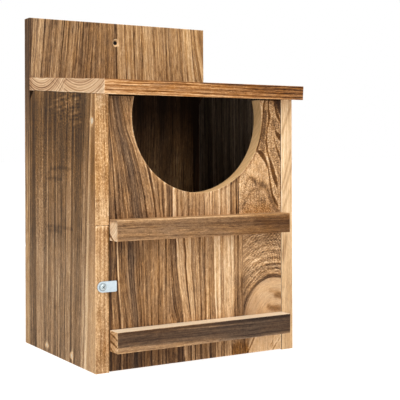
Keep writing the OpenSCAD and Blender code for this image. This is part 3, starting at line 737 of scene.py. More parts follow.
def front_field(P, kind, n, C):
    F = blank(P)
    x, y, z = P.T
    F["v"], F["w"] = z.copy(), y - Y_FRONT
    cx, cz = C[:, 0], C[:, 2]
    face = kind == 2
    upper = cz > 141
    # left and middle: the lines lean over above the upper ledge and bend below it
    f = table(z, (152, 0), (175, 4), (200, 10), (225, 18), (240, 25), (270, 34), (276, 36))
    u = x.copy()
    for _ in range(3):
        u = x + f * table(u, (-110, .2), (-99, .25), (-90, .5), (-74, .75), (-58, 1), (-50, .7), (-40, .2), (-32, 0))
    gg = table(z, (0, 1), (45, 1), (60, .75), (80, .4), (100, .12), (128, 0))
    ul = x.copy()
    for _ in range(3):
        ul = x - gg * table(ul, (-110, 3), (-97, 5), (-85, 7), (-72, 3), (-60, .5), (-50, 0), (-40, 1), (-33, 6), (-28, 10), (-20, 9), (-11, 5),
                            (0, 1), (6, 1), (16, 2.5), (25, 1), (44, 0))
    # the wavy line under the upper ledge
    ul = ul - 1.3 * np.exp(-((z - 111) / 9.0) ** 2) * bump(x, -17.5, 5)
    F["u"] = np.where(upper, 700 + u, ul)
    # right stave
    right_u = face & upper & (cx > 50)
    F["u"] = np.where(right_u, 1000 + x, F["u"])
    F["v"] = np.where(right_u, z * 4.0, F["v"])
    right_l = face & ~upper & (cz > 21.5) & (cx > 54)
    H = 43 * np.sqrt(((x - 94) / 40.3) ** 2 + ((z - 35) / 47.0) ** 2)
    F["u"] = np.where(right_l, 1200 + H, F["u"])
    F["v"] = np.where(right_l, np.arctan2(z - 35, 94 - x) * np.maximum(H, 20) * 1.6, F["v"])
    right_b = face & (cz <= 21.5) & (cx > 40)
    F["u"] = np.where(right_b, 1400 + x, F["u"])
    F["v"] = np.where(right_b, z * 2.0, F["v"])
    F["figure"] = np.where(right_u, .75, 0) + np.where(right_l, .50 * sstep(42, 50, H) * sstep(56, 64, x), 0)
    F["figure"] += np.where(face & upper & (cx < -60), .10, 0)
    F["figure"] -= np.where(right_l, .95 * sstep(42, 40, H), 0) + np.where(right_b, .75 * sstep(60, 64, x), 0)
    # strokes of the upper right figure
    s1 = stroke(x, z, (84, 278, 1.0), (82, 268, .8), (81.5, 258, .6), (80, 248, .6), (78.5, 238, .7), (76, 230, .9), (73.5, 223, 1.2), (72.5, 219.5, .6))
    s1b = stroke(x, z, (73, 219, .8), (77, 217.5, 2.2), (81, 213.5, 2.4), (85, 206.5, 1.2), (88, 199, .6), (89.5, 190, .6), (91, 180, .8),
                 (93, 171, 1.1), (96.5, 164.5, 1.5), (99.6, 160.5, 1.1), (100.6, 157, .3))
    s2 = stroke(x, z, (89, 278, .5), (88, 270, .6), (88.3, 264, .9), (89.6, 257, 1.5), (88.4, 250, .7), (86.5, 243, .5), (86, 235, .7), (85.4, 228, .9),
                (86.5, 220, .9), (89, 212, .9), (92, 204, 1.5), (94, 197, 2.2), (96.2, 190, 2.6), (98.4, 184, 1.7), (99.8, 178, .4))
    s4 = stroke(x, z, (96.5, 275, .3), (97.4, 268, .5), (99, 262, 1.2), (101.5, 256, 1.5), (104.6, 251, .9))
    s5 = stroke(x, z, (97.0, 242, .2), (100.5, 237, 2.2), (104.8, 233.5, 3.2))
    s6 = stroke(x, z, (94.3, 240, -.2), (96, 232, .2), (98, 224.5, .4), (101, 218, 1.0), (104.8, 210, .8))
    s8 = stroke(x, z, (104.9, 204, -.3), (104.4, 190, .2), (105, 160, .2))
    up_marks = least(s1, s1b, s2, s4, s5, s6, s8)
    F["dark"] = np.where(face & upper & (cx > 48), up_marks, F["dark"])
    l1 = stroke(x, z, (80.5, 222, -.2), (84.5, 215, .5), (87.5, 208.5, .5), (90.5, 201.5, .1))
    l2 = stroke(x, z, (100, 198, .3), (101, 188, .6), (102.5, 176, .3))
    l3 = stroke(x, z, (72.6, 217, .9), (74.2, 215.5, .7))
    F["light"] = np.where(right_u, least(l1, l2, l3), F["light"])
    # the smooth tongue between the entrance and the long stroke
    tongue = soft(stroke(x, z, (66, 203, 6), (74, 206, 5), (80, 200, 4), (84, 188, 2)), 4.0)
    F["figure"] -= np.where(right_u, .50 * tongue + .30 * soft(stroke(x, z, (64, 189, 3), (78, 183, 4), (88, 172, 3), (96, 160, 3)), 4.0), 0)
    # dusky stretches between the strokes, and painted shade in the top right corner and along the top edge under the
    # roof
    tone = np.zeros(len(x))
    tone -= .30 * soft(stroke(x, z, (84.5, 262, .3), (83, 246, 1.0), (80.5, 234, 1.8), (80, 226, 2.6), (79.0, 220, 3.0)), 2.4)
    tone -= .16 * soft(stroke(x, z, (86, 278, 1), (85, 262, 1), (83, 250, 1), (82, 236, 1)), 2.5)
    tone -= .50 * soft(stroke(x, z, (103, 277, 2.5), (102, 269, 2.0), (105, 263, .5)), 3.6)
    tone -= .16 * soft(stroke(x, z, (93, 254, .5), (96, 248, 1.0), (97, 243, .5)), 2.4)
    tone -= .12 * soft(stroke(x, z, (104, 222, 1.0), (103, 200, 1.5), (103.5, 170, 1.0)), 2.0)
    tone -= .20 * soft(stroke(x, z, (91, 276.5, 1.0), (97, 274.5, 1.0)), 3.5)
    tone -= .06 * soft(stroke(x, z, (98, 250, 3), (98, 210, 3)), 5.0)
    # arches low in the upper figure
    tone -= .28 * soft(stroke(x, z, (64, 190.4, -.2), (68, 187.8, .8), (72, 184.6, 1.4), (77, 183, 1.6), (81, 182.4, 1.6), (84.5, 179.5, 1.2),
                              (87, 174.5, .8), (90, 168.5, .8), (96, 160.5, .8), (99, 155, .5)), 1.7)
    tone -= .16 * soft(stroke(x, z, (51, 158, .2), (54, 168, .2), (57, 178, .2), (60, 187, .2), (63, 191, .3), (66, 190.5, .2), (69, 187.5, .2)), 1.4)
    tone -= .20 * soft(stroke(x, z, (54, 157, .2), (57, 165, .4), (60, 170, .4), (64, 175, .4), (68, 177.6, .4), (73, 178, .5), (78, 177, .3)), 1.5)
    tone -= .13 * soft(stroke(x, z, (65, 160, 4), (72, 164, 8), (82, 160, 5)), 5.0)
    tone -= .12 * soft(stroke(x, z, (76, 164, .5), (79, 166, .8), (83, 162, .6)), 1.8)
    tone += .05 * soft(stroke(x, z, (60, 205, 6), (75, 200, 6)), 6.0)
    F["tone"] += np.where(right_u, tone, 0)
    F["warm"] += np.where(right_u, .06, 0) - np.where(right_l, .04 + .08 * sstep(44, 41, H), 0)
    F["warm"] += np.where(right_u, .25 * soft(stroke(x, z, (60, 153, 1), (85, 155, 2)), 5.0), 0)
    # figure round the big arch, lower right
    tone = -.14 * soft(stroke(x, z, (52, 96, 2), (52, 75, 2.5), (52, 60, 4.0), (51, 42, 5)), 5.0)
    out = H - 43.6
    span = 3.0 + 6.0 * sstep(80, 55, z)
    tone -= .11 * sstep(-.8, .6, out) * np.exp(-np.maximum(out, 0) ** 2 / span ** 2)
    tone -= .20 * soft(np.abs(H - 43.0) - .25, .9) * sstep(60, 74, x)
    marks = .20 * soft(stroke(x, z, (97, 60.5, .6), (101, 60.8, 1.6), (106, 59.5, 2.2)), 1.8)
    marks += .08 * soft(stroke(x, z, (90, 66, .3), (99, 65, .4)), 2.0)
    marks += .18 * soft(stroke(x, z, (87, 49.5, .5), (92, 47, 1.0), (98, 46.5, 1.5), (105, 45.5, 1.0)), 1.8)
    tone -= marks
    tone -= .5 * marks
    F["warm"] += np.where(right_l, 1.2 * marks, 0)
    tone += .03 * sstep(43, 40, H)
    tone -= .10 * soft(stroke(x, z, (88, 93, 1), (106, 92, 2.2)), 2.2)
    tone -= .06 * soft(stroke(x, z, (72, 128, 3), (96, 128, 4)), 6.0)
    tone += .05 * soft(stroke(x, z, (60, 105, 4), (75, 110, 6)), 8.0)
    # above the arch: arcs that fall to the right, others along the arch, and short dashes that rise to the right
    G = np.hypot(x - 66, z - 99)
    arcs = np.sin((G + .4 * np.sin(z / 2.9)) * 2 * math.pi / 3.1)
    tone += .20 * arcs * sstep(79, 86, x) * sstep(95, 102, z) * sstep(16, 22, G)
    tone += .15 * np.sin((H + .5 * np.sin(x / 1.9) + .4 * np.sin(x / 3.7 + 1)) * 2 * math.pi / 3.3) * sstep(70, 78, x) * sstep(46, 48, H) * sstep(104, 96, z)
    dash = np.sin((z - .95 * x + .5 * np.sin(z / 2.3)) * 2 * math.pi / 4.2) * (.62 + .38 * np.sin((z + 1.1 * x) * 2 * math.pi / 6.1 + np.sin(z / 5.0)))
    tone += .21 * dash * sstep(56, 63, x + .4 * np.minimum(z - 88, 0)) * sstep(86, 76, x) * sstep(46.5, 49, H) * sstep(64, 72, z)
    tone -= .06 * sstep(66, 58, x + .4 * np.minimum(z - 88, 0)) * sstep(92, 80, z)
    F["tone"] += np.where(right_l, tone, 0)
    F["tone"] += np.where(face & ~upper & ~right_l & ~right_b & (cx > 40), -.13 * soft(stroke(x, z, (51, 80, 1), (49, 42, 5)), 5.0), 0)
    # bottom
    tone = -.15 * soft(stroke(x, z, (46, 6, 5), (53, 8, 5), (57, 18, 1)), 3.0)
    tone -= .12 * soft(stroke(x, z, (91, 7, 1.5), (93, 5, 1)), 2.0)
    F["tone"] += np.where(right_b, tone, 0)
    F["warm"] += np.where(right_b, .35 * soft(stroke(x, z, (46, 6, 6), (53, 6, 5)), 3.0), 0)
    d = least(stroke(x, z, (69, 18.5, .5), (64, 9, .4), (58.5, 0, .6)), stroke(x, z, (105, 16, -.1), (98, 8, .1), (92, 0, .1)),
              stroke(x, z, (100, 18, -.4), (94, 12, -.2), (89, 5, -.1)))
    F["dark"] = np.where(right_b, d, F["dark"])
    l = least(stroke(x, z, (103, 17, .2), (96, 9, .3), (90, 1, .2)))
    F["light"] = np.where(right_b, l, F["light"])
    # colour of the staves: grey-purple band on the left, golden on the right
    F["warm"] += np.where(face, table(x, (-105, 0), (-60, .02), (-25, 0), (0, .0), (50, .0), (105, .0)), 0)
    F["tone"] += np.where(face, table(x, (-105, .03), (-60, .05), (-25, .07), (0, .08), (50, .07), (56, .02), (105, -.03)), 0)
    F["warm"] -= np.where(face, .22 * bump(np.where(upper, u, ul), np.where(upper, -73.0, -81.0), 5.5), 0)
    # darker just under the roof, from scorch and painted shade; painted shade towards the bottom and below the lower
    # ledge on the left; and a scuffed lighter rim left of the entrance
    F["tone"] -= np.where(face, .10 * sstep(270, 275, z) + .05 * sstep(60, 0, z) + .13 * sstep(23, 20, z) * sstep(70, 30, x), 0)
    F["tone"] += np.where(face, .09 * sstep(23, 20, z) * sstep(62, 72, x) + .01 * right_u - .04 * right_l, 0)
    F["tone"] -= np.where(face & upper, .04 * sstep(-45, -62, x), 0)
    # char left along the edge beside the strip
    F["tone"] -= np.where(face, .34 * sstep(-101.6, -103.2, x) * table(z, (0, 1), (130, .9), (160, .3), (276, .2)), 0)
    rho = np.hypot(x - EX, z - EZ)
    rim = face & (x < -30) & (z > 176)
    F["tone"] += np.where(rim, .13 * soft(rho - ER - .6, 1.7), 0)
    # the entrance's cut wall: raw wood, seen end to side grain round the arc
    wall = np.abs(rho - ER) < .35
    wall &= (kind != 2) & (kind != 3)
    ang = np.arctan2(x - EX, EZ - z)
    F["u"] = np.where(wall, 1610 + ang * 24.0 + (y - Y_FRONT) * .5, F["u"])
    F["v"] = np.where(wall, (y - Y_FRONT) * 2.0, F["v"])
    F["w"] = np.where(wall, ang * 30.0, F["w"])
    F["bare"] = np.where(wall & (y > Y_FRONT + .8), -3.0, F["bare"])
    # painted light: the wall's bare wood is made brighter towards the bottom of the arc, where it faces up into the
    # light
    F["tone"] = np.where(wall, -.01 + .29 * sstep(1.75, .95, np.abs(ang)), F["tone"])
    # a dark line outside the rim, lower right
    F["tone"] -= np.where(face, .26 * soft(np.abs(rho - ER - 1.3) - .3, .7) * sstep(18, 30, x) * sstep(236, 222, z), 0)
    F["bare"] = np.where(wall & (y <= Y_FRONT + .8), -.2, F["bare"])
    # the other faces
    back = kind == 3
    F["u"] = np.where(back, 1730 + x + 2.5 * np.sin(z / 71.0), F["u"])
    # painted shade: the inside face is darkened
    F["tone"] -= np.where(back, .30, 0)
    ends = ((kind == 0) | (kind == 1)) & ~wall
    F["u"] = np.where(ends, 1612 + (y - Y_FRONT) * 1.2, F["u"])
    caps = ((kind == 4) | (kind == 5)) & ~wall
    F["u"] = np.where(caps, 1640 + rings(x, y - Y_FRONT, (-58, -86, -21), (-3, -24, 36), (54, 22, -30), (999, 88, 44)), F["u"])
    F["v"] = np.where(caps, 0, F["v"])
    return F


def ease_rim(bm):
    rim = [e for e in bm.edges if all(abs(v.co.y * 1000 - Y_FRONT) < 1e-3 and abs(math.hypot(v.co.x, v.co.z - EZ / 1000) - ER / 1000) < 2e-5
                                      for v in e.verts)]
    bmesh.ops.bevel(bm, geom=rim, offset=0.0005, offset_type="OFFSET", segments=2, profile=0.5, affect="EDGES")


board("front_panel", "front_panel_looks", "front_door", front_mat, (1.25, 3.0, 2.0), front_field, radius=0.5, seed=12,
      arc=True, before=ease_rim, rough_face=lambda F: groove(F, front_p))


# ================================================================ left side: panel and the two strips, one grain
side_p = Profile()
side_p.levels((-96, .60), (-73, .58), (-66, .74), (-60.5, .55), (-50, .46), (-43, .42), (-32, .58), (-29, .34), (-23, .57), (-9.5, .48),
              (0, .40), (4, .50), (9.5, .44), (12, .54), (15, .44), (18.5, .42), (22.5, .52), (28, .48), (37, .48), (38.5, .61), (41.5, .45),
              (51.5, .56), (55, .58), (73, .32), (84, .40), (88, .28), (96, .28))
side_p.many((-80, .5, -.06), (-76.5, .5, .05), (-71, .5, -.05), (-63.4, 1.5, .08, 1.0, .5), (-60.3, .7, -.24, .4, .8), (-56, .5, .06), (-50.2, .6, -.12, .5, 1.2),
            (-46, .5, -.07), (-40, .6, -.08), (-36, .5, -.08), (-32, .6, -.12), (-30.3, .8, .08), (-26.5, .5, .06), (-24, .9, -.14, .8, .5), (-20, .6, .07),
            (-17.5, .4, -.06), (-13.4, .5, -.08), (-9.4, 1.0, -.26, .5, 1.2), (-6, .4, .05), (-2.5, .5, -.10), (1.5, .5, -.08), (5, .6, -.12), (8, .7, .12),
            (10.4, .6, -.14), (13.4, .7, .12), (16, .5, -.12), (19.8, .7, -.14), (23, .6, .08), (26.4, .7, .10), (31, .4, -.05), (36.8, .7, -.14, 1.2, .4),
            (39.8, .9, .08), (44.6, .5, -.10), (48, .4, -.06), (53.2, .7, .09), (58, .5, -.06), (62, .5, .05), (66, .4, -.06), (72.8, .6, -.12, 1.2, .4),
            (77, .5, -.07), (81, .5, -.06), (86.5, .6, .06), (90, .8, -.10))
# front edges: 200 + x + 120 for the left one, upper length 200..220 and lower length 230..250
side_p.levels((196, .73), (205, .77), (210, .75), (213.5, .66), (218, .62), (224, .62), (226, .76), (233, .79), (239, .77), (243, .69), (250, .68), (254, .66))
side_p.many((202.5, .5, -.05), (207, .6, .05), (211.4, .5, -.08), (231.5, .5, .06), (235.2, .5, -.09), (237.4, .6, .08), (240.2, .5, -.10), (242.6, .5, .06), (245.4, .5, -.08))
side_p.random(51, 300, 620, .46, .09, 6.5, .2)
SIDE_PALETTE = [
    (0.00, (42, 29, 18)), (0.15, (73, 53, 35)), (0.30, (106, 80, 53)), (0.45, (139, 107, 75)),
    (0.60, (171, 136, 101)), (0.75, (201, 167, 128)), (0.90, (226, 194, 154)), (1.00, (241, 215, 180)),
]
side_mat = wood("left_side_wood", side_p, 3, palette=SIDE_PALETTE, streak=.12, fine=.21, mottle=.03, speck=.15, dust=.20)
STRIP_PATCHES = Noise2(97)
strip_mat = wood("front_strip_wood", side_p, 3, palette=SIDE_PALETTE, streak=.09, fine=.12, mottle=.05, speck=.21, thread=.06, fleck=.5, dust=.20)
CHIPS = ((-76.4, 249.5, 3.7), (-73.6, 249.2, 2.3), (-24.9, 8.0, 3.5), (-25.8, 10.2, 2.2), (42.1, 8.0, 2.9), (39.2, 7.6, 1.9), (45.4, 7.2, 1.5))


def side_field(P, kind, n, C):
    F = blank(P)
    x, y, z = P.T
    F["v"], F["w"] = z.copy(), x + 120
    out = kind == 0
    lean = table(y, (-84, -.060), (-62, -.072), (-45, -.045), (-30, -.030), (-10, -.046), (5, -.010), (40, -.018), (66, 0.0), (74, .015), (91, 0))
    u = y - lean * (z - 100)
    lean = table(u, (-90, -.060), (-62, -.072), (-45, -.045), (-30, -.030), (-10, -.046), (5, -.010), (40, -.018), (66, 0.0), (74, .015), (91, 0))
    u = y - lean * (z - 100) + .9 * np.sin(z / 43.0 + .5) * sstep(120, 220, z)
    # the cream line widens towards the bottom
    F["u"] = u + 3.2 * bump(u, -66.5, 4.5) * sstep(110, 30, z)
    # upper part: darker, browner, fine ripples across the grain
    tone = -.07 * sstep(180, 240, z) * sstep(-74, -60, y) + .07 * sstep(150, 90, z)
    tone += .06 * sstep(120, 60, z) * sstep(-40, -55, y)
    tone += .04 * sstep(-70, -74, y)
    tone -= .08 * sstep(215, 250, z) * sstep(10, 20, y) * sstep(60, 40, y)
    tone += .06 * soft(stroke(y, z, (-55, 120, 3), (-56, 180, 3), (-58, 205, 2)), 3.0)
    tone += .05 * soft(stroke(y, z, (-20, 90, 4), (-20, 200, 4)), 4.0)
    tone -= .03 * soft(stroke(y, z, (-42, 150, 3), (-42, 210, 5), (-42, 235, 5)), 5.0)
    tone -= .07 * soft(stroke(y, z, (66, 190, 5), (70, 270, 5)), 8.0)
    tone += .10 * sstep(195, 215, z) * sstep(72, 76, y) + .02 * sstep(20, 40, y) * sstep(140, 170, z) + .015
    ripple = .3 - 1.3 * np.maximum(np.sin((z + .14 * y + 1.6 * np.sin(y / 15.0) + .9 * np.sin(y / 5.3 + z / 17.0)) * 2 * math.pi / 3.9), 0) ** 2
    tone += ripple * (.13 * sstep(-56, -48, y) * sstep(14, -2, y) * sstep(236, 252, z) + .035 * sstep(120, 200, z) * sstep(-58, -50, y)
                      + .03 * sstep(36, 42, y) * sstep(66, 58, y) * sstep(95, 120, z) * sstep(250, 230, z))
    # short dark bars across the grain
    for y0, y1, z1 in ((-28, 40, 138.5), (0, 42, 190), (-26, 30, 201), (0, 36, 134)):
        tone -= .13 * soft(stroke(y, z, (y0, z1, .4), ((y0 + y1) / 2, z1 + 1.0, .5), (y1, z1 - .5, .3)), 1.5)
    # light scrapes under the roof
    for pts in (((34, 267.5, -.1), (12, 269.5, .2), (-16, 271.5, .3), (-46, 273.5, .1)), ((20, 263, -.2), (-8, 266, .2), (-30, 268.5, .2), (-50, 269, -.1)),
                ((28, 273.5, -.2), (4, 275.5, .1), (-14, 276.5, -.1)), ((-24, 257, -.2), (-36, 259, .2), (-50, 260.5, 0)),
                ((-30, 247, -.2), (-40, 248.5, .2), (-51, 249, 0))):
        tone += .20 * soft(stroke(y, z, *pts), .9)
    # swirl
    tone -= .10 * soft(stroke(y, z, (38, 196, .5), (44, 182, .8), (41, 170, .5), (47, 160, .3)), 1.8)
    tone += .08 * soft(stroke(y, z, (37, 194, .8), (40, 190, .6), (44, 188, .3)), 1.6)
    tone += .07 * soft(stroke(y, z, (84, 256, .6), (86, 240, .6), (85, 232, .4)), 1.2)
    tone += .07 * soft(stroke(y, z, (87, 210, .5), (88, 190, .5)), 1.2)
    tone -= .08
    tone -= .07 * sstep(140, 230, z)
    F["tone"] += np.where(out, tone, 0)
    F["figure"] += np.where(out, .30 * sstep(36, 41, y) * sstep(78, 70, y) * sstep(100, 130, z) * sstep(262, 245, z)
                            + .22 * sstep(150, 210, z) * sstep(-48, -40, y) * sstep(36, 30, y), 0)
    warm = table(y, (-84, .15), (-70, .10), (-64, .05), (-50, .10), (-30, .15), (0, .10), (30, .15), (40, .10), (66, .15), (80, .15), (91, .10))
    warm = warm + .02 + .12 * sstep(150, 220, z) - .12 * sstep(150, 100, z) + .15 * sstep(-70, -74, y) * sstep(120, 190, z) * sstep(250, 215, z)
    tone -= .10 * sstep(170, 200, z) * bump(y, -68, 4.0)
    tone -= .03 * sstep(-78, -82, y)
    warm = warm + .16 * sstep(-58, -62, y) * sstep(150, 100, z)
    # a lighter line along the vent's slanting cut: rubbed wear, and a painted highlight on its arris
    tone += .22 * soft(np.abs((y - 79.5) * .75 + (z - 289) * .66 + 0.0) - .3, .8) * sstep(275, 277, z)
    F["warm"] += np.where(out, warm, 0)
    F["tone"] -= np.where(out, .10 * sstep(-72, -76, y) * sstep(130, 180, z) * sstep(245, 215, z), 0)
    F["bare"] = np.where(out, near_spot(P, [c[:2] for c in CHIPS], 0.0, (1, 2)) - 0.0, F["bare"])
    best = np.full(len(y), 99.0)
    for cy, cz, r in CHIPS:
        best = np.minimum(best, np.hypot((y - cy) * (1.0 if cz > 100 else .85), z - cz) - r)
    F["bare"] = np.where(out, best, 99.0)
    F["tone"] += np.where(out, .20 * sstep(2.0, .5, best), 0)
    # front edge
    front = kind == 2
    low = C[:, 2] < 146
    lx = x + 120
    slant = np.where(low, 0.0, (z - 200) * .035)
    F["u"] = np.where(front, np.where(low, 230, 200) + lx + slant, F["u"])
    F["w"] = np.where(front, y - Y_FRONT, F["w"])
    t = .07 * soft(stroke(lx, z, (6.5, 276, .4), (9, 262, .6), (10.5, 245, .7), (12.5, 225, .6), (14.5, 205, .4)), 1.3)
    t -= .10 * soft(stroke(lx, z, (13.5, 270, .8), (14.8, 240, .6)), 2.2)
    t -= .07 * soft(stroke(lx, z, (8, 262, 1.5), (6, 240, 1.5)), 5.0) + .05 * sstep(275, 235, z)
    tl = -.10 * soft(stroke(lx, z, (6, 44, .8), (8.5, 41, .5)), 2.2) - .08 * soft(stroke(lx, z, (10, 26, .6), (8, 20, .5)), 2.4)
    tl -= .06 * sstep(70, 20, z) + .05 * soft(stroke(lx, z, (3, 62, .8), (5, 50, .6)), 2.0)
    tl -= .08 * sstep(10.5, 14, lx) * sstep(60, 100, z)
    # painted highlight on the lower strip's rounded top at the joint
    tl += .22 * sstep(142.2, 144.2, z + .8 * np.sin(lx * 1.7))
    tl -= .07 * sstep(143.0, 141.4, z) * sstep(138, 140.5, z)
    # char left along the edge beside the front panel
    t -= .05 * sstep(13.6, 14.8, lx)
    tl -= .24 * sstep(13.6, 14.8, lx) * sstep(146, 143, z)
    tl -= .07
    F["tone"] += np.where(front, np.where(low, tl, t), 0)
    F["figure"] += np.where(front, np.where(low, .22, .30), 0)
    F["warm"] += np.where(front, np.where(low, .27, .38 + .08 * bump(z, 205, 32) - .10 * bump(z, 160, 14)), 0)
    F["tone"] += np.where(front, .02 + np.where(low, -.05, -.03 + .05 * sstep(240, 262, z) - .04 * bump(z, 208, 30) + .06 * bump(z, 157, 12)), 0)
    # broad paler and darker patches, stronger towards the bottom
    patch = STRIP_PATCHES(lx / 6.5 + np.where(low, 20, 0), z / 15.0) + .6 * STRIP_PATCHES(lx / 3.2, z / 6.5 + 30)
    F["tone"] += np.where(front, patch * (.06 + .05 * sstep(80, 30, z)) + .03 * sstep(100, 60, z), 0)
    # the joint's faces and the inside
    inside = kind == 1
    F["u"] = np.where(inside, 450 + y + 2.0 * np.sin(z / 57.0), F["u"])
    # painted shade: the inside face is darkened
    F["tone"] -= np.where(inside, .26, 0)
    back = kind == 3
    F["u"] = np.where(back, 310 + x + 120, F["u"])
    caps = (kind == 4) | (kind == 5)
    F["u"] = np.where(caps, 330 + rings(y, x + 120, (-29, -52, -18), (38, 9, 38), (999, 60, -33)) * 1.1, F["u"])
    F["v"] = np.where(caps, 0, F["v"])
    return F


side_groove = lambda F: groove(F, side_p)
board("left_side_panel", "left_side_looks", "box_body", side_mat, (3.0, 1.35, 1.7), side_field, radius=0.5, seed=13,
      skip=(2, 5), rough_face=side_groove)
strip_box = ((-120, Y_FRONT, 0), (-105, Y_FRONT + 22, 146))
board("left_front_strip_lower", "left_strip_lower_looks", "box_body", strip_mat, (1.3, 1.35, 3.2), side_field, radius=0.6, seed=14,
      skip=(3, ), rough_face=side_groove, more=lambda P: 1 + 2.0 * sstep(141, 145, P[:, 2]) * sstep(Y_FRONT + 3, Y_FRONT + 1.5, P[:, 1]))
board("left_front_strip_upper", "left_strip_upper_looks", "box_body", strip_mat, (1.3, 1.35, 3.2), side_field, radius=0.6, seed=15,
      skip=(3, 5), rough_face=side_groove)


# ================================================================ right side
right_p = Profile()
right_p.random(61, -100, 110, .52, .10, 6.5, .24)
right_p.levels((396, .93), (404, .95), (409, .89), (416, .91), (422, .91))
right_p.many((402.4, .4, -.06), (407, .4, -.08), (411.5, .5, -.05))
right_p.random(62, 500, 760, .46, .09, 6.5, .2)
right_mat = wood("right_side_wood", right_p, 4, palette=SIDE_PALETTE)


def right_field(P, kind, n, C):
    F = blank(P)
    x, y, z = P.T
    F["v"], F["w"] = z.copy(), 120 - x
    F["u"] = y + .04 * (z - 100) + 2.0 * np.sin(z / 66.0 + .8)
    front = kind == 2
    rx = x - 105
    F["u"] = np.where(front, 400 + rx - (z - 140) * .02 * sstep(150, 130, z), F["u"])
    t = np.zeros(len(x))
    # faint diagonal lines
    for x0, z0, x1, z1 in ((0, 236, 13, 268), (1, 178, 14, 222), (3, 172, 15, 205), (0, 100, 6, 128), (2, 96, 8, 126), (0, 150, 12, 176)):
        t -= .19 * soft(stroke(rx, z, (x0, z0, .1), ((x0 + x1) / 2 + .6, (z0 + z1) / 2, .3), (x1, z1, .1)), 1.0)
    t -= .05 * sstep(12.5, 14.5, rx) * sstep(90, 130, z)
    t -= .14 * sstep(150, 60, z) + .03
    # painted shade just under the roof
    t -= .05 * sstep(260, 274, z)
    F["tone"] += np.where(front, t, 0)
    F["warm"] += np.where(front, .14, 0)
    F["figure"] = np.where(front, -.5, 0.0)
    F["tone"] -= np.where(front, .02, 0)
    inside = kind == 0
    F["u"] = np.where(inside, 640 + y + 2.0 * np.sin(z / 57.0), F["u"])
    # painted shade: the inside face is darkened and greyed
    F["tone"] -= np.where(inside, .19, 0)
    F["warm"] -= np.where(inside, .7, 0)
    back = kind == 3
    F["u"] = np.where(back, 510 + x - 105, F["u"])
    caps = (kind == 4) | (kind == 5)
    F["u"] = np.where(caps, 530 + rings(y, x - 105, (-34, -70, 34), (26, -2, -24), (999, 66, 41)) * 1.1, F["u"])
    F["v"] = np.where(caps, 0, F["v"])
    return F


board("right_side_panel", "right_side_looks", "box_body", right_mat, (1.5, 2.6, 5.0), right_field, radius=0.5, seed=16,
      skip=(5, ), rough_face=lambda F: groove(F, right_p))


# ================================================================ roof
roof_p = Profile()
roof_p.random(71, -40, 190, .50, .09, 6.0, .22)
# front edge: 300 + height above its lower arris
roof_p.levels((296, .60), (301.6, .56), (305, .50), (309, .54), (313, .44), (318, .44))
roof_p.many((302.0, .5, .10), (303.6, .4, -.14), (305.8, .4, .08), (307.4, .4, -.12), (309.6, .4, .07), (311.2, .4, -.12), (313.2, .5, .06), (314.3, .6, -.16))
# end grain: 400 + distance from the pith of the first stave, 600 + the same for the second
roof_p.levels((400, .87), (470, .87), (500, .85), (560, .87), (600, .86), (680, .86))
for k, r in enumerate((88.5, 91.0, 93.0, 94.6, 97.2, 99.4, 102.5, 105.0, 108.0, 111.5)):
    roof_p.line(400 + r, .35, (-.14, -.22, -.11, -.28, -.22, -.11, -.20, -.10, -.15, -.14)[k], .5, 1.2)
for k, r in enumerate((28, 31.5, 34.5, 37, 39.5, 42.2, 44.6, 47.2, 49.5, 52.4, 56, 60)):
    roof_p.line(600 + r, .35, (-.10, -.17, -.13, -.22, -.14, -.26, -.16, -.28, -.14, -.21, -.14, -.14)[k], .5, 1.2)
roof_p.random(72, 800, 1060, .44, .09, 7.0, .2)
ROOF_PALETTE = [
    (0.00, (38, 22, 12)), (0.15, (70, 43, 24)), (0.30, (108, 70, 40)), (0.45, (146, 100, 60)),
    (0.60, (180, 132, 88)), (0.75, (211, 166, 120)), (0.90, (234, 197, 153)), (1.00, (245, 217, 180)),
]
roof_mat = wood("roof_wood", roof_p, 5, palette=ROOF_PALETTE, ink=1.35, dust=.16)
roof_local = Matrix.Rotation(-SLOPE, 4, "X") @ Matrix.Translation((0, -Y_FRONT / 1000, -0.276))


def roof_field(P, kind, n, C):
    F = blank(P)
    x, y, z = P.T                                     # y along the slope from the box's front, z above the underside
    F["v"], F["w"] = x.copy(), z.copy()
    F["u"] = y + 1.5 * np.sin(x / 71.0)
    front = kind == 2
    F["u"] = np.where(front, 300 + z + .004 * x + .4 * np.sin(x / 46.0), F["u"])
    t = table(x, (-120, .06), (-60, .01), (0, -.05), (60, -.11), (120, -.17))
    t = t + .05 * soft(stroke(x, z, (-118, 7, 2), (-80, 5, 2)), 4.0)
    F["tone"] += np.where(front, t, 0)
    F["warm"] += np.where(front, .12, 0)
    end = (kind == 0) | (kind == 1)
    r1 = np.hypot(y - 38, z - 105)
    r2 = np.hypot(y - 141, z - 80) - 34
    split = 76 + .35 * (z - 7)
    Cy = C[:, 1]
    F["u"] = np.where(end, np.where(Cy < 76, 400 + r1, 600 + r2), F["u"])
    F["v"] = np.where(end, y * .12, F["v"])
    F["w"] = np.where(end, np.where(x < 0, x + 120, 120 - x), F["w"])
    t = -.16 * soft(stroke(y, z, (-14, 8.5, .1), (-4, 1.5, .1)), .8) - .20 * soft(stroke(y, z, (70, 13.5, .1), (80, 10.5, .2)), .9)
    t -= .10 * soft(stroke(y, z, (74, 1, .1), (84, 7, .1), (100, 13, .1)), .8) + .09 * soft(stroke(y, z, (84, 1, .1), (96, 7, .1), (112, 12, .1)), .8)
    t -= .10 * sstep(164, 172, y) + .07
    F["tone"] += np.where(end, t + .03, 0)
    F["warm"] -= np.where(end, .22, 0)
    F["figure"] = np.where(end, -.35, 0.0)
    under = kind == 4
    F["u"] = np.where(under, 900 + y + 1.5 * np.sin(x / 57.0), F["u"])
    # painted shade: the underside inside the box is darkened
    F["tone"] -= np.where(under & (y > 0), .24, 0)
    rear = kind == 3
    F["u"] = np.where(rear, 810 + z, F["u"])
    return F


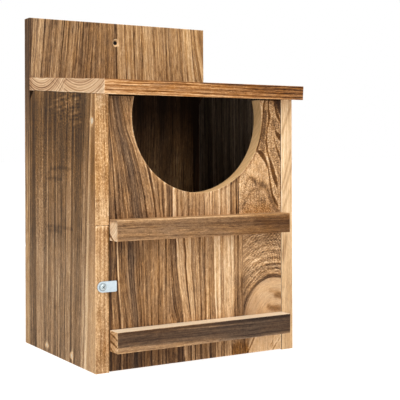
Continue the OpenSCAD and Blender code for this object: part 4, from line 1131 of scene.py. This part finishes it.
board("roof_board", "roof_looks", "box_body", roof_mat, (2.4, 1.6, 1.3), roof_field, radius=0.9, seed=17, local=roof_local,
      skip=(3, ), rough_face=lambda F: groove(F, roof_p), more=lambda P: 1 + .9 * sstep(-112, -118, P[:, 0]))


# ================================================================ floor
floor_p = Profile()
floor_p.random(81, -140, 140, .50, .08, 7.0, .2)
floor_p.random(82, 300, 420, .54, .06, 5.0, .14)
floor_board_mat = wood("floor_board_wood", floor_p, 6, palette=SIDE_PALETTE)


def floor_field(P, kind, n, C):
    F = blank(P)
    x, y, z = P.T
    F["v"], F["w"] = x.copy(), z.copy()
    F["u"] = y + 1.5 * np.sin(x / 63.0)
    F["u"] = np.where((kind == 0) | (kind == 1), 310 + np.hypot(y - 4, z + 45) * .8, F["u"])
    F["u"] = np.where((kind == 2) | (kind == 3), 400 + z, F["u"])
    # painted shade: the top face, inside the box, is darkened
    F["tone"] -= np.where(kind == 5, .22, 0)
    return F


board("floor_board", "floor_looks", "box_body", floor_board_mat, (4.0, 2.4, 3.0), floor_field, radius=0.4, seed=18)


# ================================================================ ledges
def ledge_material(name, seed, rows, lines, rand, palette):
    p = Profile()
    p.levels(*rows)
    p.many(*lines)
    # top face: 40 + depth; underside and back: 100 on; ends: 200 on
    p.levels(*rand)
    p.random(seed * 3 + 1, 100, 150, .50, .08, 5.0, .16)
    p.levels((196, .74), (240, .74), (262, .70))
    for k, r in enumerate((203, 206.5, 210, 213.2, 217, 221, 226, 231, 236, 241, 246)):
        p.line(r, .35, -.07 - .03 * (k % 3), .5, 1.0)
    # raw is paler than the bare wood: besides the wood's own colour it carries painted light from above on the lower
    # ledge's bare top face
    return p, wood(name, p, seed, palette=palette, streak=.06, fine=.15, speck=.17, thread=.08, fleck=.6, ink=.8, raw=(255, 234, 204), dust=.12)


upper_p, upper_mat = ledge_material(
    "upper_ledge_wood", 7,
    ((-3, .50), (3, .52), (8, .48), (13, .47), (17, .50), (24, .50)),
    ((2.2, .4, -.10), (4.6, .5, .05), (6.8, .4, -.08), (9.4, .4, .06), (11.4, .4, -.10), (14.2, .4, -.06), (16, .4, .05), (18.4, .4, -.08), (20.2, .5, .08)),
    ((36, .62), (48, .66), (60, .60)), FRONT_PALETTE)
# the high top-face levels here, .94 to .96, are painted light from above on the lower ledge's top face
lower_p, lower_mat = ledge_material(
    "lower_ledge_wood", 8,
    ((-3, .60), (4.2, .36), (8, .28), (14.2, .34), (16.2, .52), (24, .54)),
    ((1.5, .4, .06), (3.6, .5, -.08), (6.2, .4, .05), (9, .4, -.06), (12.2, .4, .05), (15.2, .4, -.08), (18, .4, -.06), (20.2, .4, .06)),
    ((36, .94), (46, .96), (60, .92)), FRONT_PALETTE)


def ledge_field(z0, low, prof):
    def field(P, kind, n, C):
        F = blank(P)
        x, y, z = P.T
        h = z - z0
        dep = y - (Y_FRONT - 17)
        F["v"], F["w"] = x.copy(), dep.copy()
        F["u"] = h + .5 * np.sin(x / 39.0) + .012 * x
        t = np.zeros(len(x))
        if low:
            # the light lower band fades out to the right, and the dark one takes over
            t += table(x, (-104, -.05), (-40, -.09), (20, -.11), (104, -.12))
            t -= .20 * sstep(8, 2, h) * sstep(-20, 70, x)
            t -= .20 * sstep(12, 17, h) * sstep(-20, 60, x)
            t -= .26 * soft(np.abs(h - 19.2) - .5, .9)
            t -= .03 * sstep(40, -90, x)
            F["warm"] += np.where(kind == 2, table(x, (-104, -.20), (-30, -.30), (60, -.45), (104, -.30)) * (1 - .7 * sstep(14, 20, h) * sstep(30, -20, x))
                                  * (1 - .8 * sstep(7, 2, h) * sstep(40, -30, x)), 0)
        else:
            t += table(x, (-104, -.01), (-50, -.02), (0, -.06), (60, -.12), (104, -.17))
            t -= .08 * soft(stroke(x, h, (60, 12, 1.0), (104, 10, 2.0)), 3.0)
            F["warm"] += np.where(kind == 2, -.05 + .22 * sstep(0, 80, x), 0)
            # painted highlight along the top arris
            t += .24 * sstep(19.1, 19.8, h) - .02
        F["tone"] += np.where(kind == 2, t, 0)
        top = kind == 5
        F["u"] = np.where(top, 40 + dep, F["u"])
        F["warm"] += np.where(top, .05, 0)
        if low:
            F["bare"] = np.where(top, np.where(dep > 1.2, -3.0, dep * -.4), F["bare"])
        if low:
            slant = np.sin((x + 1.3 * dep) * 2 * math.pi / 17.0) * .5 + np.sin((x + 1.1 * dep) * 2 * math.pi / 7.3 + 1) * .5
            F["tone"] += np.where(top, slant * .05 + .05 - .20 * sstep(15.4, 16.6, dep), 0)
        F["u"] = np.where(kind == 4, 105 + dep, F["u"])
        F["u"] = np.where(kind == 3, 125 + h, F["u"])
        end = (kind == 0) | (kind == 1)
        r = np.hypot(dep - (-22 if low else 34), h - (-26 if low else 44))
        F["u"] = np.where(end, 200 + (r - 12) * (.9 if low else .8), F["u"])
        F["v"] = np.where(end, 0, F["v"])
        F["w"] = np.where(end, x * .5, F["w"])
        if low:
            # the straight line at dep 16.6 is painted shade in the crease at the back of the end
            d = least(stroke(dep, h, (-1, 12.2, .5), (7, 15.5, .7), (15, 17.5, .6)), stroke(dep, h, (-1, 5.2, .6), (7, 8.0, .9), (15, 10.0, .7)),
                      stroke(dep, h, (5, 21.2, -.1), (13, 19.6, .2)), stroke(dep, h, (16.6, 2, .2), (16.6, 18, .2)), stroke(dep, h, (9, 0, .3), (13, 2, .5), (17, 4, .6)))
            t = -.14 * soft(stroke(dep, h, (10, 12.5, 1.5), (15, 13, 1)), 3.0) - .12 * sstep(3.0, 0.5, h)
        else:
            d = least(stroke(dep, h, (7, -.6, .5), (12, 2.4, .9), (17, 5.8, 1.1)), stroke(dep, h, (.9, 1, .1), (.9, 20, .1)))
            # painted shade: darker at the top of the end and towards its back, in the crease against the panel
            t = .15 - .10 * sstep(14, 17, dep) + .04 * soft(stroke(dep, h, (6, 8, 2), (10, 12, 2)), 4) - .34 * sstep(17.8, 19.2, h)
            F["warm"] -= np.where(end, .25, 0)
        F["dark"] = np.where(end & (kind == 0), d, F["dark"])
        F["tone"] += np.where(end, t, 0)
        return F
    return field


board("upper_ledge", "upper_ledge_looks", "front_door", upper_mat, (2.6, 1.3, 1.3), ledge_field(130.8, False, upper_p), radius=0.65, seed=19,
      rough_face=lambda F: groove(F, upper_p, .12))
board("lower_ledge", "lower_ledge_looks", "front_door", lower_mat, (2.6, 1.3, 1.3), ledge_field(21.1, True, lower_p), radius=0.65, seed=20,
      rough_face=lambda F: groove(F, lower_p, .12))


# ================================================================ metal
def metal(name, colour, rough, scratch, tint=None, metallic=1.0, ring=None, cross=None):
    """Zinc or wire steel: fine turning and rolling marks, dull patches and small pits."""
    m = bpy.data.materials.new(name)
    g = Graph(m)
    tc = g.nt.nodes.new("ShaderNodeTexCoord").outputs["Object"]
    x, y, z = g.split(tc)
    mm = lambda s: g.xyz(g.mul(x, s * 1000), g.mul(y, s * 1000), g.mul(z, s * 1000))
    patch = g.noise(mm(0.35), 3.0, 0.6)
    fine = g.noise(g.xyz(g.mul(x, 900), g.mul(y, 9000), g.mul(z, 9000)), 2.0, 0.6)
    pits = g.noise(mm(4.0), 2.0, 0.6)
    c = g.mix(g.remap(patch, 0.30, 0.70, 0.0, 0.7), lin(colour), lin(tint or tuple(int(v * .86) for v in colour)))
    if ring:
        # painted shade: a dark ring in the step round the screw's head, standing for its contact shadow
        away = g.math("SQRT", g.add(g.math("POWER", g.add(x, -ring[0]), 2.0), g.math("POWER", g.add(z, -ring[1]), 2.0)))
        band = g.remap(g.math("ABSOLUTE", g.add(away, -ring[2])), 0.0002, 0.0007, 0.55, 0.0)
        c = g.mix(band, c, lin((96, 102, 104)))
    if cross:
        # painted shade down in the cross recess of the head
        dx, dz = g.mul(g.add(x, -cross[0]), 0.7071), g.mul(g.add(z, -cross[1]), 0.7071)
        u, v = g.math("ABSOLUTE", g.add(dx, dz)), g.math("ABSOLUTE", g.add(dx, g.mul(dz, -1.0)))
        arm = g.mul(g.remap(g.math("MINIMUM", u, v), 0.0003, 0.0005, 0.85, 0.0), g.remap(g.math("MAXIMUM", u, v), 0.0016, 0.0018, 1.0, 0.0))
        c = g.mix(arm, c, lin((58, 64, 66)))
    c = g.mix(g.remap(pits, 0.62, 0.72, 0.0, 0.5), c, lin(tuple(int(v * .6) for v in colour)))
    g.link(c, g.bsdf.inputs["Base Color"])
    g.bsdf.inputs["Metallic"].default_value = metallic
    r = g.add(g.mad(fine, 2 * scratch, rough - scratch), g.mad(patch, 0.16, -0.08))
    g.link(r, g.bsdf.inputs["Roughness"])
    b = g.nt.nodes.new("ShaderNodeBump")
    b.inputs["Strength"].default_value = 0.3
    b.inputs["Distance"].default_value = 0.00008
    g.link(g.add(fine, g.mul(pits, 0.6)), b.inputs["Height"])
    g.link(b.outputs[0], g.bsdf.inputs["Normal"])
    return m


zinc_mat = metal("zinc_plate", (206, 217, 222), 0.42, 0.06, (188, 202, 208), 0.55, (-0.1128, 0.0855, 0.0036))
screw_mat = metal("screw_steel", (206, 216, 217), 0.40, 0.06, (186, 197, 198), 0.55, cross=(-0.1128, 0.0855))
nail_mat = metal("nail_steel", (226, 206, 176), 0.55, 0.08, (206, 184, 152), 0.15)
for nm, mat in [(nm, nail_mat) for nm in nodes if nm.endswith("_nails") or nm.endswith("_nail")] + [("latch_screw", screw_mat)]:
    o = nodes[nm]
    if not o.data.materials:
        o.data.materials.append(mat)
    for k in range(len(o.data.materials)):
        o.data.materials[k] = mat


def latch():
    """The plate with a rolled rim: its outer arrises are rounded and its face is dished a little inside the rim."""
    bm = bmesh.new()
    bm.from_mesh(nodes["latch_plate"].data)
    bmesh.ops.remove_doubles(bm, verts=bm.verts, dist=2e-6)
    bmesh.ops.dissolve_limit(bm, angle_limit=math.radians(0.2), verts=bm.verts, edges=bm.edges, use_dissolve_boundaries=False)
    ys = [v.co.y for v in bm.verts]
    y_face = min(ys)
    face = max((f for f in bm.faces if all(abs(v.co.y - y_face) < 1e-6 for v in f.verts)), key=lambda f: f.calc_area())
    hole = lambda e: all(math.hypot(v.co.x + 0.1128, v.co.z - 0.0855) < 0.002 for v in e.verts)
    rim = [e for e in bm.edges if not hole(e) and len({round(v.co.y, 7) for v in e.verts}) == 1]
    bmesh.ops.bevel(bm, geom=rim, offset=0.00032, offset_type="OFFSET", segments=3, profile=0.5, affect="EDGES")
    flat = [f for f in bm.faces if all(abs(v.co.y - y_face) < 1e-6 for v in f.verts)]
    bmesh.ops.inset_region(bm, faces=flat, thickness=0.0007, depth=-0.00014, use_even_offset=True)
    me = bpy.data.meshes.new("latch_plate_looks")
    bm.to_mesh(me)
    bm.free()
    me.shade_smooth()
    me.set_sharp_from_angle(angle=math.radians(50))
    me.materials.append(zinc_mat)
    o = bpy.data.objects.new("latch_plate_looks", me)
    scene.collection.objects.link(o)
    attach(o, "latch")
    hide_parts("latch_plate")


latch()
